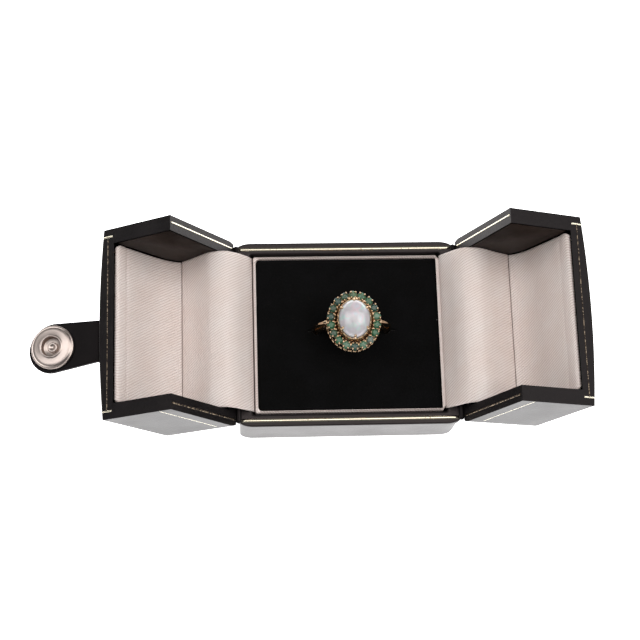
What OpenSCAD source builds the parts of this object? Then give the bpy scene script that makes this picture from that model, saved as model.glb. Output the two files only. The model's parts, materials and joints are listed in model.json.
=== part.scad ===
// Cluster ring in a double-door presentation box, in millimetres.
// Origin: centre of the box's underside. X runs from door to door, Y away from the viewer, Z up.
// The doors are drawn open, as the box stands when the ring is on show.

/* [Box] */
// Width of the closed box, hinge to hinge
box_w = 58; // [57:0.5:60]
// Depth of the box, along its hinges
box_d = 49.8; // [49:0.2:52]
// Height of the base, up to its rim and the hinge lines
base_h = 18; // [18:0.5:20]
// Height of each lid above the hinge line
lid_h = 21.75; // [21:0.25:24]
// Radius of the upright corners beside the hinges
corner_r = 3.5; // [2:0.5:4]
// Thickness of the base under a hinge
base_side_t = 3.6; // [3:0.1:4]
// Thickness of the base at its front and back
base_end_t = 3.3; // [3:0.1:3.8]
// Thickness of the floor
floor_t = 2; // [1.5:0.5:2.5]
// Height of the rim lip around the base
rim_h = 2.6; // [2:0.2:4]
// How far the rim lip stands out from the wall below it
rim_out = 0.4; // [0.2:0.1:0.8]

/* [Lids] */
// How far the left lid stands open, in degrees
left_open = 124.4; // [100:0.1:125]
// How far the right lid stands open, in degrees
right_open = 111.9; // [100:0.1:125]
// Thickness of a lid's front and back walls, and of its side wall
lid_wall_t = 4; // [3:0.1:4.2]
// Thickness of a lid's top panel behind its lining
panel_t = 3; // [2.8:0.05:3.6]
// Thickness of the bare band along a lid's free edge
band_t = 3.6; // [3.4:0.1:4.4]
// Height of the padded crown of a lid's top, along its length
crown_h = 1.3; // [0.6:0.1:1.6]
// Rounding of the edge between a lid's top and side
top_edge_r = 3.2; // [2.4:0.2:4]
// Radius of the rolled leatherette fold on each hinge line
fold_r = 0.55; // [0.4:0.05:0.6]

/* [Linings] */
// Thickness of the satin-covered board inside a lid's top
lining_t = 1; // [0.8:0.1:1.2]
// Thickness of the satin across a hinge
satin_t = 1; // [0.8:0.1:1.2]
// Width of the satin frame along the front and back of the pad
trim_end_t = 1.1; // [1:0.1:1.4]
// Width of the satin frame beside the hinges
trim_side_t = 1.2; // [1:0.1:1.4]
// Height of the velvet's face above the table
pad_top = 17; // [16:0.5:17]

/* [Strap] */
// Width of the strap where it leaves the lid
strap_w = 10.9; // [9:0.1:12]
// Width of the strap at its round tip
strap_tip_w = 12.9; // [12.8:0.1:14]
// Thickness of the strap's leather
strap_t = 1.4; // [1.2:0.1:1.6]
// Distance from the strap's bend to the middle of the snap
strap_reach = 11.4; // [11:0.1:16]
// How far the standing strap leans towards the other lid, in degrees
strap_lean = 20; // [5:1:24]
// How far the strap runs off square, in degrees
strap_skew = 5; // [0:0.5:6]
// Place of the strap along the lid's free edge
strap_y = -3.7; // [-5:0.1:5]
// Diameter of the snap's socket
socket_d = 11.8; // [11:0.1:12.6]

/* [Ring] */
// Inside diameter of the ring
finger_d = 17.6; // [17:0.1:18.4]
// Thickness of the shank at the back of the finger
shank_t = 1.1; // [1:0.1:1.3]
// Width of the shank at the back of the finger
shank_w = 1.7; // [1.5:0.1:1.8]
// Height of the halo's claw beads above the middle of the finger
halo_z = 11.8; // [11.6:0.1:12.4]
// Place of the ring across the pad
ring_x = 1.05; // [-2:0.05:2]
// Place of the ring along the pad
ring_y = 0.8; // [-2:0.1:2]
// Height of the middle of the finger hole above the table
ring_z = 15.1; // [15:0.1:16]

/* [Stones] */
// Length of the opal, along the finger
opal_l = 10; // [9.8:0.1:10.2]
// Width of the opal
opal_w = 8; // [7.8:0.1:8.2]
// Height of the opal's dome above its girdle
opal_dome = 2.8; // [2.4:0.1:3.2]
// Diameter of each emerald
stone_d = 2.1; // [2:0.05:2.1]
// Number of emeralds in the halo
stone_count = 18; // [18]
// How far each emerald leans outwards, in degrees
stone_tilt = 6; // [0:1:10]

/* [Hidden] */
// Gap between pieces that lie side by side
gap = 0.1;
// Gap between a closed lid's rim and the base
lid_gap = 0.3;
// Gap between the two closed lids, half of it on each
meet_gap = 0.15;
lid_w = box_w / 2 - meet_gap;
cavity_x = box_w / 2 - base_side_t;
cavity_y = box_d / 2 - base_end_t;
lid_inner_y = box_d / 2 - lid_wall_t;
// The pad sits a little right of the middle
pad_shift = 0.5;
pad_x = cavity_x - trim_side_t - gap;
pad_y = cavity_y - trim_end_t - 2 * gap;
ring_outer_r = finger_d / 2 + shank_t;
slot_w = shank_w + 0.4;
// A lid's side lining, seen along the hinge: across from the wall, and up from the hinge line
lining_profile = [[8.1, 0.6], [8.5, 2.6], [8.1, 5], [7, 8.5], [5.7, 13.8]];
// The face of its top lining, seen the same way, from the crease between them
top_profile = [[5.85, 13.9], [7.2, 14.95], [10, 15.95], [16.2, 16.85]];
// Width of the lip along a lid's free edge that hides the edge of the top lining
lip_w = 0.85;
// Where the free, standing part of the strap starts, across and up from the hinge
bend_u = 25.5;
bend_r = 1;
strap_foot_l = 9;
// How far from its free edge the other lid carries the stud
stud_in = 10;
crown_top = lid_h + crown_h;
crown_big_r = (pow(box_d / 2, 2) + pow(crown_h, 2)) / (2 * crown_h);
strap_foot_v = crown_top + 0.05;
// Half widths across and along the finger of the rows of claws and stones
halo_out = [7.05, 7.84];
halo_mid = [6.03, 6.96];
halo_in = [5, 6.07];
plate_out = [6.95, 7.72];
plate_in = [3.7, 4.7];
girdle_z = halo_z - 0.25;
opal_girdle_z = halo_z + 1.6;
collet_base_z = halo_z - 0.85;
opal_claw_angles = [33, 90, 147, 213, 270, 327];
quarter_radian = 14.324;

left_names = ["left_lid_shell", "left_side_lining", "left_top_lining", "left_hinge_satin"];
right_names = ["right_lid_shell", "right_side_lining", "right_top_lining", "right_hinge_satin"];
snap_names = ["strap", "snap_socket", "snap_cap", "snap_stud"];
base_names = ["base_shell", "satin_trim", "velvet_pad", "ring_setting", "opal"];
$fn = 64;

function stone_name(i) = str("emerald_", i < 10 ? "0" : "", i);

// Angle on an ellipse that spaces points evenly along it, to first order
function even_angle(s, phi) =
    phi - (s[1] * s[1] - s[0] * s[0]) / (s[1] * s[1] + s[0] * s[0]) * quarter_radian * sin(2 * phi);
function on_ellipse(s, phi, z) = [s[0] * cos(phi), s[1] * sin(phi), z];
function evenly(s, phi, z) = on_ellipse(s, even_angle(s, phi), z);
// Direction of the halo stone's number i, counted from the top of the ring's face
function stone_phi(i) = 90 - (i - 1) * 360 / stone_count;

// Closed surface through a list of rings of points; each ring runs the same way round
module loft(rings, closed = false) {
    m = len(rings);
    n = len(rings[0]);
    last = closed ? m - 1 : m - 2;
    sides = [for (k = [0:last], i = [0:n - 1], t = [0, 1])
        let (a = k * n + i, b = k * n + (i + 1) % n, c = ((k + 1) % m) * n + i,
             d = ((k + 1) % m) * n + (i + 1) % n)
        t == 0 ? [a, c, b] : [b, c, d]];
    caps = closed ? [] : [[for (i = [0:n - 1]) i], [for (i = [n - 1:-1:0]) (m - 1) * n + i]];
    polyhedron([for (r = rings, p = r) p], concat(sides, caps), convexity = 6);
}

// Tapered wire with round ends
module wire(p, q, r1, r2, f1 = 5, f2 = 8) {
    hull() {
        translate(p) sphere(r = r1, $fn = f1);
        translate(q) sphere(r = r2, $fn = f2);
    }
}

module rounded_plan(w, d, r) {
    square([w - 2 * r, d], center = true);
    square([w, d - 2 * r], center = true);
    for (x = [-1, 1], y = [-1, 1])
        translate([x * (w / 2 - r), y * (d / 2 - r)]) circle(r);
}

// The base

module base_shell() {
    color("#1c1b1b") difference() {
        union() {
            linear_extrude(base_h - rim_h)
                rounded_plan(box_w - 2 * rim_out, box_d - 2 * rim_out, corner_r - rim_out);
            translate([0, 0, base_h - rim_h]) linear_extrude(rim_h) rounded_plan(box_w, box_d, corner_r);
            for (x = [-1, 1])
                translate([x * box_w / 2, 0, base_h]) rotate([90, 0, 0])
                    cylinder(r = fold_r, h = box_d - 3.2, center = true);
        }
        translate([-cavity_x, -cavity_y, floor_t]) cube([2 * cavity_x, 2 * cavity_y, base_h]);
    }
}

module satin_trim() {
    color("#e6dcda") difference() {
        translate([-cavity_x + gap, -cavity_y + gap, floor_t + gap])
            cube([2 * (cavity_x - gap), 2 * (cavity_y - gap), base_h - floor_t - gap]);
        translate([pad_shift - pad_x - gap, -pad_y - gap, 0])
            cube([2 * (pad_x + gap), 2 * (pad_y + gap), base_h + 1]);
    }
}

module velvet_pad() {
    color("#0d0d0e") difference() {
        translate([pad_shift - pad_x, -pad_y, floor_t + gap])
            cube([2 * pad_x, 2 * pad_y, pad_top - floor_t - gap]);
        translate([ring_x, ring_y, ring_z]) {
            rotate([90, 0, 0]) cylinder(r = ring_outer_r + gap, h = slot_w, center = true);
            translate([-ring_outer_r - gap, -slot_w / 2, 0]) cube([2 * (ring_outer_r + gap), slot_w, 9]);
        }
    }
}

// The ring, drawn with the middle of the finger hole at the origin and its face up

module place_ring() {
    translate([ring_x, ring_y, ring_z]) children();
}

// Shank section at angle a from the top: flat inside, round outside, thicker at the shoulders
function shoulder(a) = pow(max(0, min(1, (78 - a) / 38)), 2);
function shank_section(a, side) =
    let (t = shank_t + 0.95 * shoulder(a), w = shank_w / 2 + 0.3 * shoulder(a), r = finger_d / 2)
    [for (q = [[r + 0.12, w * 0.9], [r + 0.55 * t, w], [r + 0.85 * t, w * 0.75], [r + t, w * 0.28],
               [r + t, -w * 0.28], [r + 0.85 * t, -w * 0.75], [r + 0.55 * t, -w],
               [r + 0.12, -w * 0.9], [r, -w * 0.6], [r, w * 0.6]])
        [side * q[0] * sin(a), q[1], q[0] * cos(a)]];

module shank() {
    shank_end = 37;
    steps = 20;
    half = [for (k = [0:steps]) shank_end + (180 - shank_end) * k / steps];
    loft(concat([for (k = [0:steps]) shank_section(half[k], 1)],
                [for (k = [steps - 1:-1:0]) shank_section(half[k], -1)]));
}

// Rising strut of each shoulder, from the side of the shank up to the edge of the halo. Each row has
// the angle from the top, the inner and outer distance from the middle of the finger, and half the width
shoulder_rows = [[33, 12.0, 12.95, 0.82], [38, 11.95, 12.9, 0.78], [45, 11.8, 12.72, 0.72],
                 [54, 11.35, 12.2, 0.66], [64, 10.65, 11.45, 0.62], [72, 9.9, 10.68, 0.58], [78, 9.2, 9.88, 0.5]];

module shoulder_struts() {
    for (m = [0, 1]) mirror([m, 0, 0]) loft([for (row = shoulder_rows) [for (q = [157.5:-45:-157.5])
        let (d = (row[1] + row[2]) / 2 + (row[2] - row[1]) / 2 * cos(q))
        [d * sin(row[0]), row[3] * sin(q), d * cos(row[0])]]]);
}

// Height of the lower gallery rail, which dips towards the shoulders
function rail_z(t) = finger_d / 2 + 0.62 - 1.1 * pow(cos(t), 2);

module gallery_rail() {
    r = 0.38;
    out = [halo_out[0] - 0.08, halo_out[1] - 0.08];
    loft([for (t = [0:10:350])
        [for (q = [288:-72:0]) [(out[0] + r * cos(q)) * cos(t), (out[1] + r * cos(q)) * sin(t),
                               rail_z(t) + r * sin(q)]]], closed = true);
}

// Plate under the halo, drilled behind each stone
module halo_plate() {
    plate_t = 0.42;
    translate([0, 0, girdle_z - 0.85]) linear_extrude(plate_t) difference() {
        polygon([for (t = [0:10:350]) [plate_out[0] * cos(t), plate_out[1] * sin(t)]]);
        polygon([for (t = [0:10:350]) [plate_in[0] * cos(t), plate_in[1] * sin(t)]]);
        for (i = [1:stone_count])
            let (p = evenly(halo_mid, stone_phi(i), 0)) translate([p[0], p[1]]) circle(0.66, $fn = 8);
    }
}

module halo_claws() {
    for (j = [0:2 * stone_count - 1]) {
        phi = 90 + (j + 0.5) * 180 / stone_count;
        foot = even_angle(halo_out, phi);
        wire(on_ellipse([halo_out[0] - 0.1, halo_out[1] - 0.1], foot, rail_z(foot)),
             on_ellipse(halo_out, foot, halo_z), 0.24, 0.37, 4, 6);
        wire(evenly([halo_in[0] - 0.1, halo_in[1] - 0.1], phi, girdle_z - 0.6),
             evenly(halo_in, phi, halo_z), 0.18, 0.29, 4, 6);
    }
}

// Scalloped collet of the opal, with the shelf that the stone sits on
module opal_collet() {
    a = opal_w / 2;
    b = opal_l / 2;
    lobes = 18;
    // Outline growth, foot height, and share of the scallop, from the outside foot round to the inside
    rows = [[-0.1, collet_base_z, 0], [0.22, opal_girdle_z - 1.1, 0], [0.52, opal_girdle_z, 1],
            [0.1, opal_girdle_z, 1], [0.08, opal_girdle_z - 0.65, 0], [-0.6, opal_girdle_z - 0.65, 0],
            [-0.6, collet_base_z, 0]];
    loft([for (row = rows) [for (k = [0:53])
        let (t = k * 360 / 54, dip = 0.35 * (1 - abs(sin(lobes * t / 2))))
        [(a + row[0]) * cos(t), (b + row[0]) * sin(t), row[1] - row[2] * dip]]], closed = true);
}

module opal_claws() {
    a = opal_w / 2;
    b = opal_l / 2;
    for (t = opal_claw_angles) {
        shoulder_at = on_ellipse([a + 0.42, b + 0.42], t, opal_girdle_z + 0.1);
        wire(on_ellipse([a + 0.3, b + 0.3], t, collet_base_z), shoulder_at, 0.32, 0.32, 5, 6);
        wire(shoulder_at, on_ellipse([a - 0.25, b - 0.25], t, opal_girdle_z + 1.15), 0.32, 0.4, 6, 8);
    }
}

// Half outline of a stone or of its seat: rows of distance from the axis and height
module spun(rows, sides) {
    loft([for (row = rows) [for (k = [0:sides - 1])
        [row[0] * cos(k * 360 / sides), row[0] * sin(k * 360 / sides), row[1]]]]);
}

module place_stone(i) {
    p = evenly(halo_mid, stone_phi(i), girdle_z);
    translate(p) rotate([0, 0, atan2(p[1], p[0])]) rotate([0, stone_tilt, 0]) children();
}

// Double cone that clears a stone by a little
module stone_seat() {
    sides = 8;
    r = (stone_d / 2 + 0.06) / cos(180 / sides);
    spun([[0.15, -0.93], [r, 0], [0.15, 0.95]], sides);
}

module opal_body(grow = 0) {
    a = opal_w / 2 + grow;
    b = opal_l / 2 + grow;
    rows = [for (e = [0:11:77]) [cos(e), (opal_dome + grow) * sin(e)]];
    full = concat([[0.9, -0.55], [0.985, -0.16]], rows, [[0.09, (opal_dome + grow) * 0.996]]);
    loft([for (row = full) [for (k = [0:39])
        [row[0] * a * cos(k * 9), row[0] * b * sin(k * 9), opal_girdle_z + row[1]]]]);
}

module ring_setting() {
    color("#c9985f") place_ring() difference() {
        union() {
            shank();
            shoulder_struts();
            gallery_rail();
            halo_plate();
            halo_claws();
            opal_collet();
            opal_claws();
        }
        for (i = [1:stone_count]) place_stone(i) stone_seat();
        opal_body(0.05);
    }
}

module opal() {
    color("#e9e4ee") place_ring() opal_body();
}

// Round cut: table, stars, kites, upper and lower girdle facets and pavilion mains
module emerald(i) {
    r = stone_d / 2;
    table = 0.56;
    top_h = 0.3 * r;
    depth = 0.8 * r;
    edge = 0.04;
    star = (table + 1) / 2 / cos(22.5);
    tail = 0.22 / cos(22.5);
    function at(rho, deg, z) = [r * rho * cos(deg), r * rho * sin(deg), z];
    eight = [0:7];
    top = [for (k = eight) at(table, k * 45, edge + top_h)];
    stars = [for (k = eight) at(star, k * 45 + 22.5, edge + top_h / 2)];
    upper = [for (k = [0:15]) at(1, k * 22.5, edge)];
    lower = [for (k = [0:15]) at(1, k * 22.5, -edge)];
    tails = [for (k = eight) at(tail, k * 45 + 22.5, -edge - depth * 0.78)];
    culet = [[0, 0, -edge - depth]];
    // First index of each group of points
    s0 = 8;
    u0 = 16;
    l0 = 32;
    t0 = 48;
    c0 = 56;
    faces = concat(
        [[for (k = [7:-1:0]) k]],
        [for (k = eight) [k, (k + 1) % 8, s0 + k]],
        [for (k = eight) [k, s0 + k, u0 + 2 * k]],
        [for (k = eight) [k, u0 + 2 * k, s0 + (k + 7) % 8]],
        [for (k = eight) [s0 + k, u0 + 2 * k + 1, u0 + 2 * k]],
        [for (k = eight) [s0 + k, u0 + (2 * k + 2) % 16, u0 + 2 * k + 1]],
        [for (k = [0:15]) let (n = (k + 1) % 16) [u0 + k, u0 + n, l0 + n]],
        [for (k = [0:15]) let (n = (k + 1) % 16) [u0 + k, l0 + n, l0 + k]],
        [for (k = eight) [l0 + 2 * k, l0 + 2 * k + 1, t0 + k]],
        [for (k = eight) [l0 + 2 * k + 1, l0 + (2 * k + 2) % 16, t0 + k]],
        [for (k = eight) [l0 + 2 * k, t0 + k, c0]],
        [for (k = eight) [l0 + 2 * k, c0, t0 + (k + 7) % 8]]);
    color("#2f6b54") place_ring() place_stone(i)
        polyhedron(concat(top, stars, upper, lower, tails, culet), faces);
}

// The lids. Each is drawn shut over the left half of the base with its hinge line on the Y axis,
// then turned open about that line; the right lid is the left one mirrored.

module place_lid(side) {
    open = side < 0 ? left_open : right_open;
    translate([side * box_w / 2, 0, base_h]) mirror([side > 0 ? 1 : 0, 0, 0])
        rotate([0, -open, 0]) children();
}

// Prism along the hinge with the given outline across and up from the hinge
module along_hinge(depth) {
    rotate([90, 0, 0]) linear_extrude(depth, center = true) children();
}

module lid_plan() {
    d = box_d;
    r = corner_r;
    translate([r, -d / 2]) square([lid_w - r, d]);
    translate([0, -d / 2 + r]) square([r + 1, d - 2 * r]);
    for (y = [-1, 1]) translate([r, y * (d / 2 - r)]) circle(r);
}

// Outline of a lid across the hinge, with the top edge rounded
module lid_outline() {
    r = top_edge_r;
    translate([r, 0]) square([lid_w - r, crown_top + 1]);
    square([r, crown_top - r]);
    translate([r, crown_top - r]) circle(r);
}

module lid_shell() {
    color("#1b1a1a") difference() {
        intersection() {
            translate([0, 0, lid_gap]) linear_extrude(crown_top) lid_plan();
            along_hinge(box_d + 2) lid_outline();
            translate([-1, 0, crown_top - crown_big_r]) rotate([0, 90, 0])
                cylinder(r = crown_big_r, h = lid_w + 2, $fn = 256);
        }
        translate([lid_wall_t, -lid_inner_y, -1])
            cube([lid_w, 2 * lid_inner_y, lid_h - band_t + 1]);
        translate([lid_wall_t, -lid_inner_y, 0])
            cube([lid_w - lid_wall_t - lip_w, 2 * lid_inner_y, lid_h - panel_t]);
        rotate([90, 0, 0]) cylinder(r = fold_r + 0.25, h = box_d + 2, center = true);
    }
}

module side_lining() {
    top = lid_h - panel_t - gap;
    wall = lid_wall_t + gap;
    corner = [lining_profile[4][0] - 0.3, top];
    color("#e9dfde") along_hinge(2 * (lid_inner_y - gap))
        polygon(concat([[wall, lining_profile[0][1]]], lining_profile, [corner, [wall, top]]));
}

module top_lining() {
    top = lid_h - panel_t - gap;
    edge = lid_w - lip_w - gap;
    corner = [top_profile[0][0] - 0.25, top];
    color("#ebe2e0") along_hinge(2 * (lid_inner_y - gap))
        polygon(concat(top_profile, [[edge, top - lining_t], [edge, top], corner]));
}

// Satin from the base's edge over the hinge to the hump of the lid's side lining
function lid_to_world(open, u, v) =
    [-box_w / 2 + u * cos(open) - v * sin(open), base_h + u * sin(open) + v * cos(open)];
function bezier(p, t) =
    pow(1 - t, 3) * p[0] + 3 * t * pow(1 - t, 2) * p[1] + 3 * t * t * (1 - t) * p[2] + pow(t, 3) * p[3];

module hinge_satin(side) {
    open = side < 0 ? left_open : right_open;
    inset = satin_t / 2 + 0.05;
    start = [-cavity_x - satin_t, base_h + 0.36];
    finish = lid_to_world(open, lining_profile[0][0] - inset, lining_profile[0][1] - 0.3);
    leave = lid_to_world(open, lining_profile[0][0] - inset - 0.6, -4);
    spine = [start + [satin_t / 2, 0], start + [satin_t / 2 - 1.6, 2.6], leave, finish];
    steps = 10;
    path = [for (k = [0:steps]) bezier(spine, k / steps)];
    function normal(k) =
        let (d = path[min(k + 1, steps)] - path[max(k - 1, 0)]) [-d[1], d[0]] / norm(d);
    outer = [for (k = [0:steps]) path[k] + normal(k) * satin_t / 2];
    inner = [for (k = [steps:-1:0]) path[k] - normal(k) * satin_t / 2];
    color("#e9dfde") mirror([side > 0 ? 1 : 0, 0, 0]) along_hinge(2 * (lid_inner_y - gap))
        polygon(concat(outer, inner));
}

// The strap is flat on the lid's top, bends up near the free edge and stands, leaning over

module strap_side() {
    mid = [bend_u, strap_foot_v + strap_t + bend_r];
    up = [sin(strap_lean), cos(strap_lean)] * (strap_reach + strap_tip_w);
    turn = [for (k = [0:8]) -90 + (90 - strap_lean) * k / 8];
    function arc(r) = [for (a = turn) mid + r * [cos(a), sin(a)]];
    under = arc(bend_r + strap_t);
    over = arc(bend_r);
    polygon(concat([[bend_u - strap_foot_l, strap_foot_v]], under, [under[8] + up, over[8] + up],
                   [for (k = [8:-1:0]) over[k]], [[bend_u - strap_foot_l, strap_foot_v + strap_t]]));
}

// Frame on the middle of the snap, on the strap's face that looks at the other lid
module at_snap() {
    translate([bend_u, strap_y, strap_foot_v + strap_t + bend_r])
        rotate([0, strap_lean, 0]) translate([bend_r + strap_t, 0, 0]) rotate([strap_skew, 0, 0])
            translate([0, 0, strap_reach]) rotate([0, 90, 0]) children();
}

module strap() {
    color("#161515") difference() {
        intersection() {
            along_hinge(40) strap_side();
            union() {
                at_snap() {
                    translate([0, 0, -8]) cylinder(d = strap_tip_w, h = 12);
                    translate([0, 0, -8]) linear_extrude(12)
                        polygon([[0, strap_tip_w / 2], [strap_reach + 2, strap_w / 2],
                                 [strap_reach + 2, -strap_w / 2], [0, -strap_tip_w / 2]]);
                }
                translate([bend_u - strap_foot_l - 1, strap_y - strap_w / 2, strap_foot_v - 1])
                    cube([strap_foot_l + 10, strap_w, strap_t + bend_r + 1]);
            }
        }
        at_snap() translate([0, 0, -5]) cylinder(d = 3, h = 10);
    }
}

module snap_socket() {
    socket_h = 2;
    color("#b9b3af") at_snap() translate([0, 0, gap]) difference() {
        union() {
            cylinder(d = socket_d, h = 0.9);
            translate([0, 0, 0.9]) cylinder(d1 = socket_d, d2 = socket_d - 1.6, h = 0.7);
            translate([0, 0, 1.5]) cylinder(d = 6.6, h = socket_h - 1.5);
        }
        translate([0, 0, 0.5]) cylinder(d = 4.9, h = 3);
    }
}

module snap_cap() {
    color("#b9b3af") at_snap() translate([0, 0, -strap_t - gap]) rotate([180, 0, 0]) {
        cylinder(d = 11.2, h = 0.6);
        translate([0, 0, 0.6]) cylinder(d1 = 11.2, d2 = 8, h = 0.7);
        translate([0, 0, -strap_t]) cylinder(d = 2.6, h = strap_t + 0.1);
    }
}

// Stud on the other lid, where the strap reaches when both lids are shut
module snap_stud() {
    color("#b9b3af") place_lid(1) translate([lid_w - stud_in, strap_y, crown_top + 0.02]) {
        cylinder(d = 9, h = 0.5);
        cylinder(d = 4.2, h = 1.3);
        translate([0, 0, 1.3]) cylinder(d1 = 4.4, d2 = 3.6, h = 0.8);
    }
}

base_shell();
satin_trim();
velvet_pad();
ring_setting();
opal();
for (i = [1:stone_count]) emerald(i);
place_lid(-1) lid_shell();  // left_lid_shell
place_lid(-1) side_lining();  // left_side_lining
place_lid(-1) top_lining();  // left_top_lining
hinge_satin(-1);  // left_hinge_satin
place_lid(1) lid_shell();  // right_lid_shell
place_lid(1) side_lining();  // right_side_lining
place_lid(1) top_lining();  // right_top_lining
hinge_satin(1);  // right_hinge_satin
place_lid(-1) strap();
place_lid(-1) snap_socket();
place_lid(-1) snap_cap();
snap_stud();
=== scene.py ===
# %% [markdown]
# A gold cluster ring stands in the velvet pad of its double-door box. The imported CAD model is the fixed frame:
# it says where every piece is, how big it is and what moves. This script only makes the looks around it.

# %% Load the frame
import json
import math

import bmesh
import bpy
import numpy as np
from mathutils import Matrix, Vector


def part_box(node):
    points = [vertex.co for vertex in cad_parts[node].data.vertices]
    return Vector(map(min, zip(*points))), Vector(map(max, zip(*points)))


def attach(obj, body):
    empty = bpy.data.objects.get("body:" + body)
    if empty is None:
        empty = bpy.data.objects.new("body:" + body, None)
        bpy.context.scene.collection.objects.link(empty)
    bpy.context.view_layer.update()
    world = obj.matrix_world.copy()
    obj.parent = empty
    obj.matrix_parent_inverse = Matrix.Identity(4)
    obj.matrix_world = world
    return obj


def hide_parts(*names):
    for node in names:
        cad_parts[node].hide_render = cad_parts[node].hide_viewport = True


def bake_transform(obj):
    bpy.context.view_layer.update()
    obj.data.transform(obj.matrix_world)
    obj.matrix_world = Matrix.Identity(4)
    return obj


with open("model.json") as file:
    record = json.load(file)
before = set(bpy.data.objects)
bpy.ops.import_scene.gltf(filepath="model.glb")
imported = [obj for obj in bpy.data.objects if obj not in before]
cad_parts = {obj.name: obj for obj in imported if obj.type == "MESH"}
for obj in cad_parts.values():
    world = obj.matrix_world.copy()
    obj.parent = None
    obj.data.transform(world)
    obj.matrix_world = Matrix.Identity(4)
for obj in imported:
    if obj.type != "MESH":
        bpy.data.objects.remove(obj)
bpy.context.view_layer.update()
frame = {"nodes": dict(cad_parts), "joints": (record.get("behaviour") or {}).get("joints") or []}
MM = 0.001
JOINTS = {joint["child"]: joint for joint in frame["joints"]}

# %% [markdown]
# Everything below is a grid of points worked out with numpy. One helper numbers the squares of a grid, another
# turns points and faces into an object, merges points that fall together and turns the faces outwards.


# %% Helpers for meshes
def grid_faces(rows, cols, wrap_rows=False, wrap_cols=False):
    """Corner numbers of each square of a grid, where point (i, j) has the number i * cols + j."""
    i, j = np.meshgrid(np.arange(rows - (not wrap_rows)), np.arange(cols - (not wrap_cols)), indexing="ij")
    down, right = (i + 1) % rows, (j + 1) % cols
    corners = [i * cols + j, i * cols + right, down * cols + right, down * cols + j]
    return np.stack(corners, -1).reshape(-1, 4).tolist()


def joined(parts):
    """One list of points and faces out of several, with the face numbers moved on."""
    points, faces, first = [], [], 0
    for part_points, part_faces in parts:
        points.append(np.reshape(part_points, (-1, 3)))
        faces += [[first + corner for corner in face] for face in part_faces]
        first += len(points[-1])
    return np.concatenate(points), faces


def lofted(rings, caps=True, wrap=False):
    """Surface through rings of points, an array of shape (rings, points, 3). caps closes both ends with one
    face, wrap joins the last ring to the first."""
    rings = np.asarray(rings, float)
    count, size = rings.shape[:2]
    faces = grid_faces(count, size, wrap_rows=wrap, wrap_cols=True)
    if caps and not wrap:
        faces += [list(range(size))[::-1], list(range((count - 1) * size, count * size))]
    return rings.reshape(-1, 3), faces


def make_piece(name, points, faces, body, slot, material, weld=0.002 * MM, uv=None):
    """Object of the given mesh. Points closer than weld become one, and the faces are turned outwards."""
    mesh = bpy.data.meshes.new(name)
    mesh.from_pydata(np.asarray(points).tolist(), [], faces)
    if uv is not None:
        layer = mesh.uv_layers.new(name="cloth")
        corners = np.zeros(len(mesh.loops), np.int32)
        mesh.loops.foreach_get("vertex_index", corners)
        layer.data.foreach_set("uv", np.asarray(uv, np.float32)[corners].ravel())
    work = bmesh.new()
    work.from_mesh(mesh)
    bmesh.ops.remove_doubles(work, verts=work.verts, dist=weld)
    bmesh.ops.dissolve_degenerate(work, edges=work.edges, dist=weld)
    bmesh.ops.recalc_face_normals(work, faces=work.faces)
    open_edges = sum(1 for edge in work.edges if not edge.is_manifold)
    work.to_mesh(mesh)
    work.free()
    mesh.shade_smooth()
    if material:
        mesh.materials.append(material)
    piece = bpy.data.objects.new(name, mesh)
    bpy.context.scene.collection.objects.link(piece)
    if body:
        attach(piece, body)
    print(name, "faces", len(mesh.polygons), "open edges", open_edges)
    return piece


def even_shading(piece):
    """Lets the large flat faces decide the shading next to a rounded edge, so that they look flat."""
    piece.modifiers.new("even shading", "WEIGHTED_NORMAL").keep_sharp = True


def span(node):
    """Lowest and highest corner of a CAD node, as arrays in metres."""
    return np.array(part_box(node))


def circle(count):
    """Angles of evenly spaced places round a circle."""
    return np.linspace(0, math.tau, count, endpoint=False)

# %% [markdown]
# Materials come next, because each piece needs its own. One helper adds a node with its settings and links.
# Colours are written as the hex values a paint chart would give, and one function turns them to linear light.
# A bump's distance is the height of a full step of its pattern, in metres.


# %% Helpers for materials
def linear(hex_colour):
    """Linear colour of an sRGB hex value, with an alpha of one. Each channel c becomes c / 12.92 where it is
    dark, and ((c + 0.055) / 1.055) ** 2.4 elsewhere."""
    channels = [int(hex_colour[k:k + 2], 16) / 255 for k in (1, 3, 5)]
    return [c / 12.92 if c <= 0.04045 else ((c + 0.055) / 1.055) ** 2.4 for c in channels] + [1.0]


def add_node(tree, kind, inputs=None, stops=(), into=None, **settings):
    """Adds one node. inputs are values or sockets by input name or number, stops are the (place, hex colour)
    pairs of a ramp, into is a socket that the first output is linked to, settings are its own properties."""
    node = tree.nodes.new(kind)
    for name, value in settings.items():
        setattr(node, name, value)
    for name, value in (inputs or {}).items():
        if isinstance(value, bpy.types.NodeSocket):
            tree.links.new(value, node.inputs[name])
        else:
            node.inputs[name].default_value = value
    if stops:
        elements = node.color_ramp.elements
        while len(elements) < len(stops):
            elements.new(0.5)
        for element, (place, hex_colour) in zip(elements, stops):
            element.position = place
            element.color = linear(hex_colour)
    if into:
        tree.links.new(node.outputs[0], into)
    return node


def start_material(name, **inputs):
    """New material of one Principled shader with plain inputs set. Returns the material, its tree and shader."""
    material = bpy.data.materials.new(name)
    material.use_nodes = True
    tree = material.node_tree
    shader = tree.nodes["Principled BSDF"]
    for key, value in inputs.items():
        shader.inputs[key.replace("_", " ")].default_value = value
    print("material:", name)
    return material, tree, shader
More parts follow.
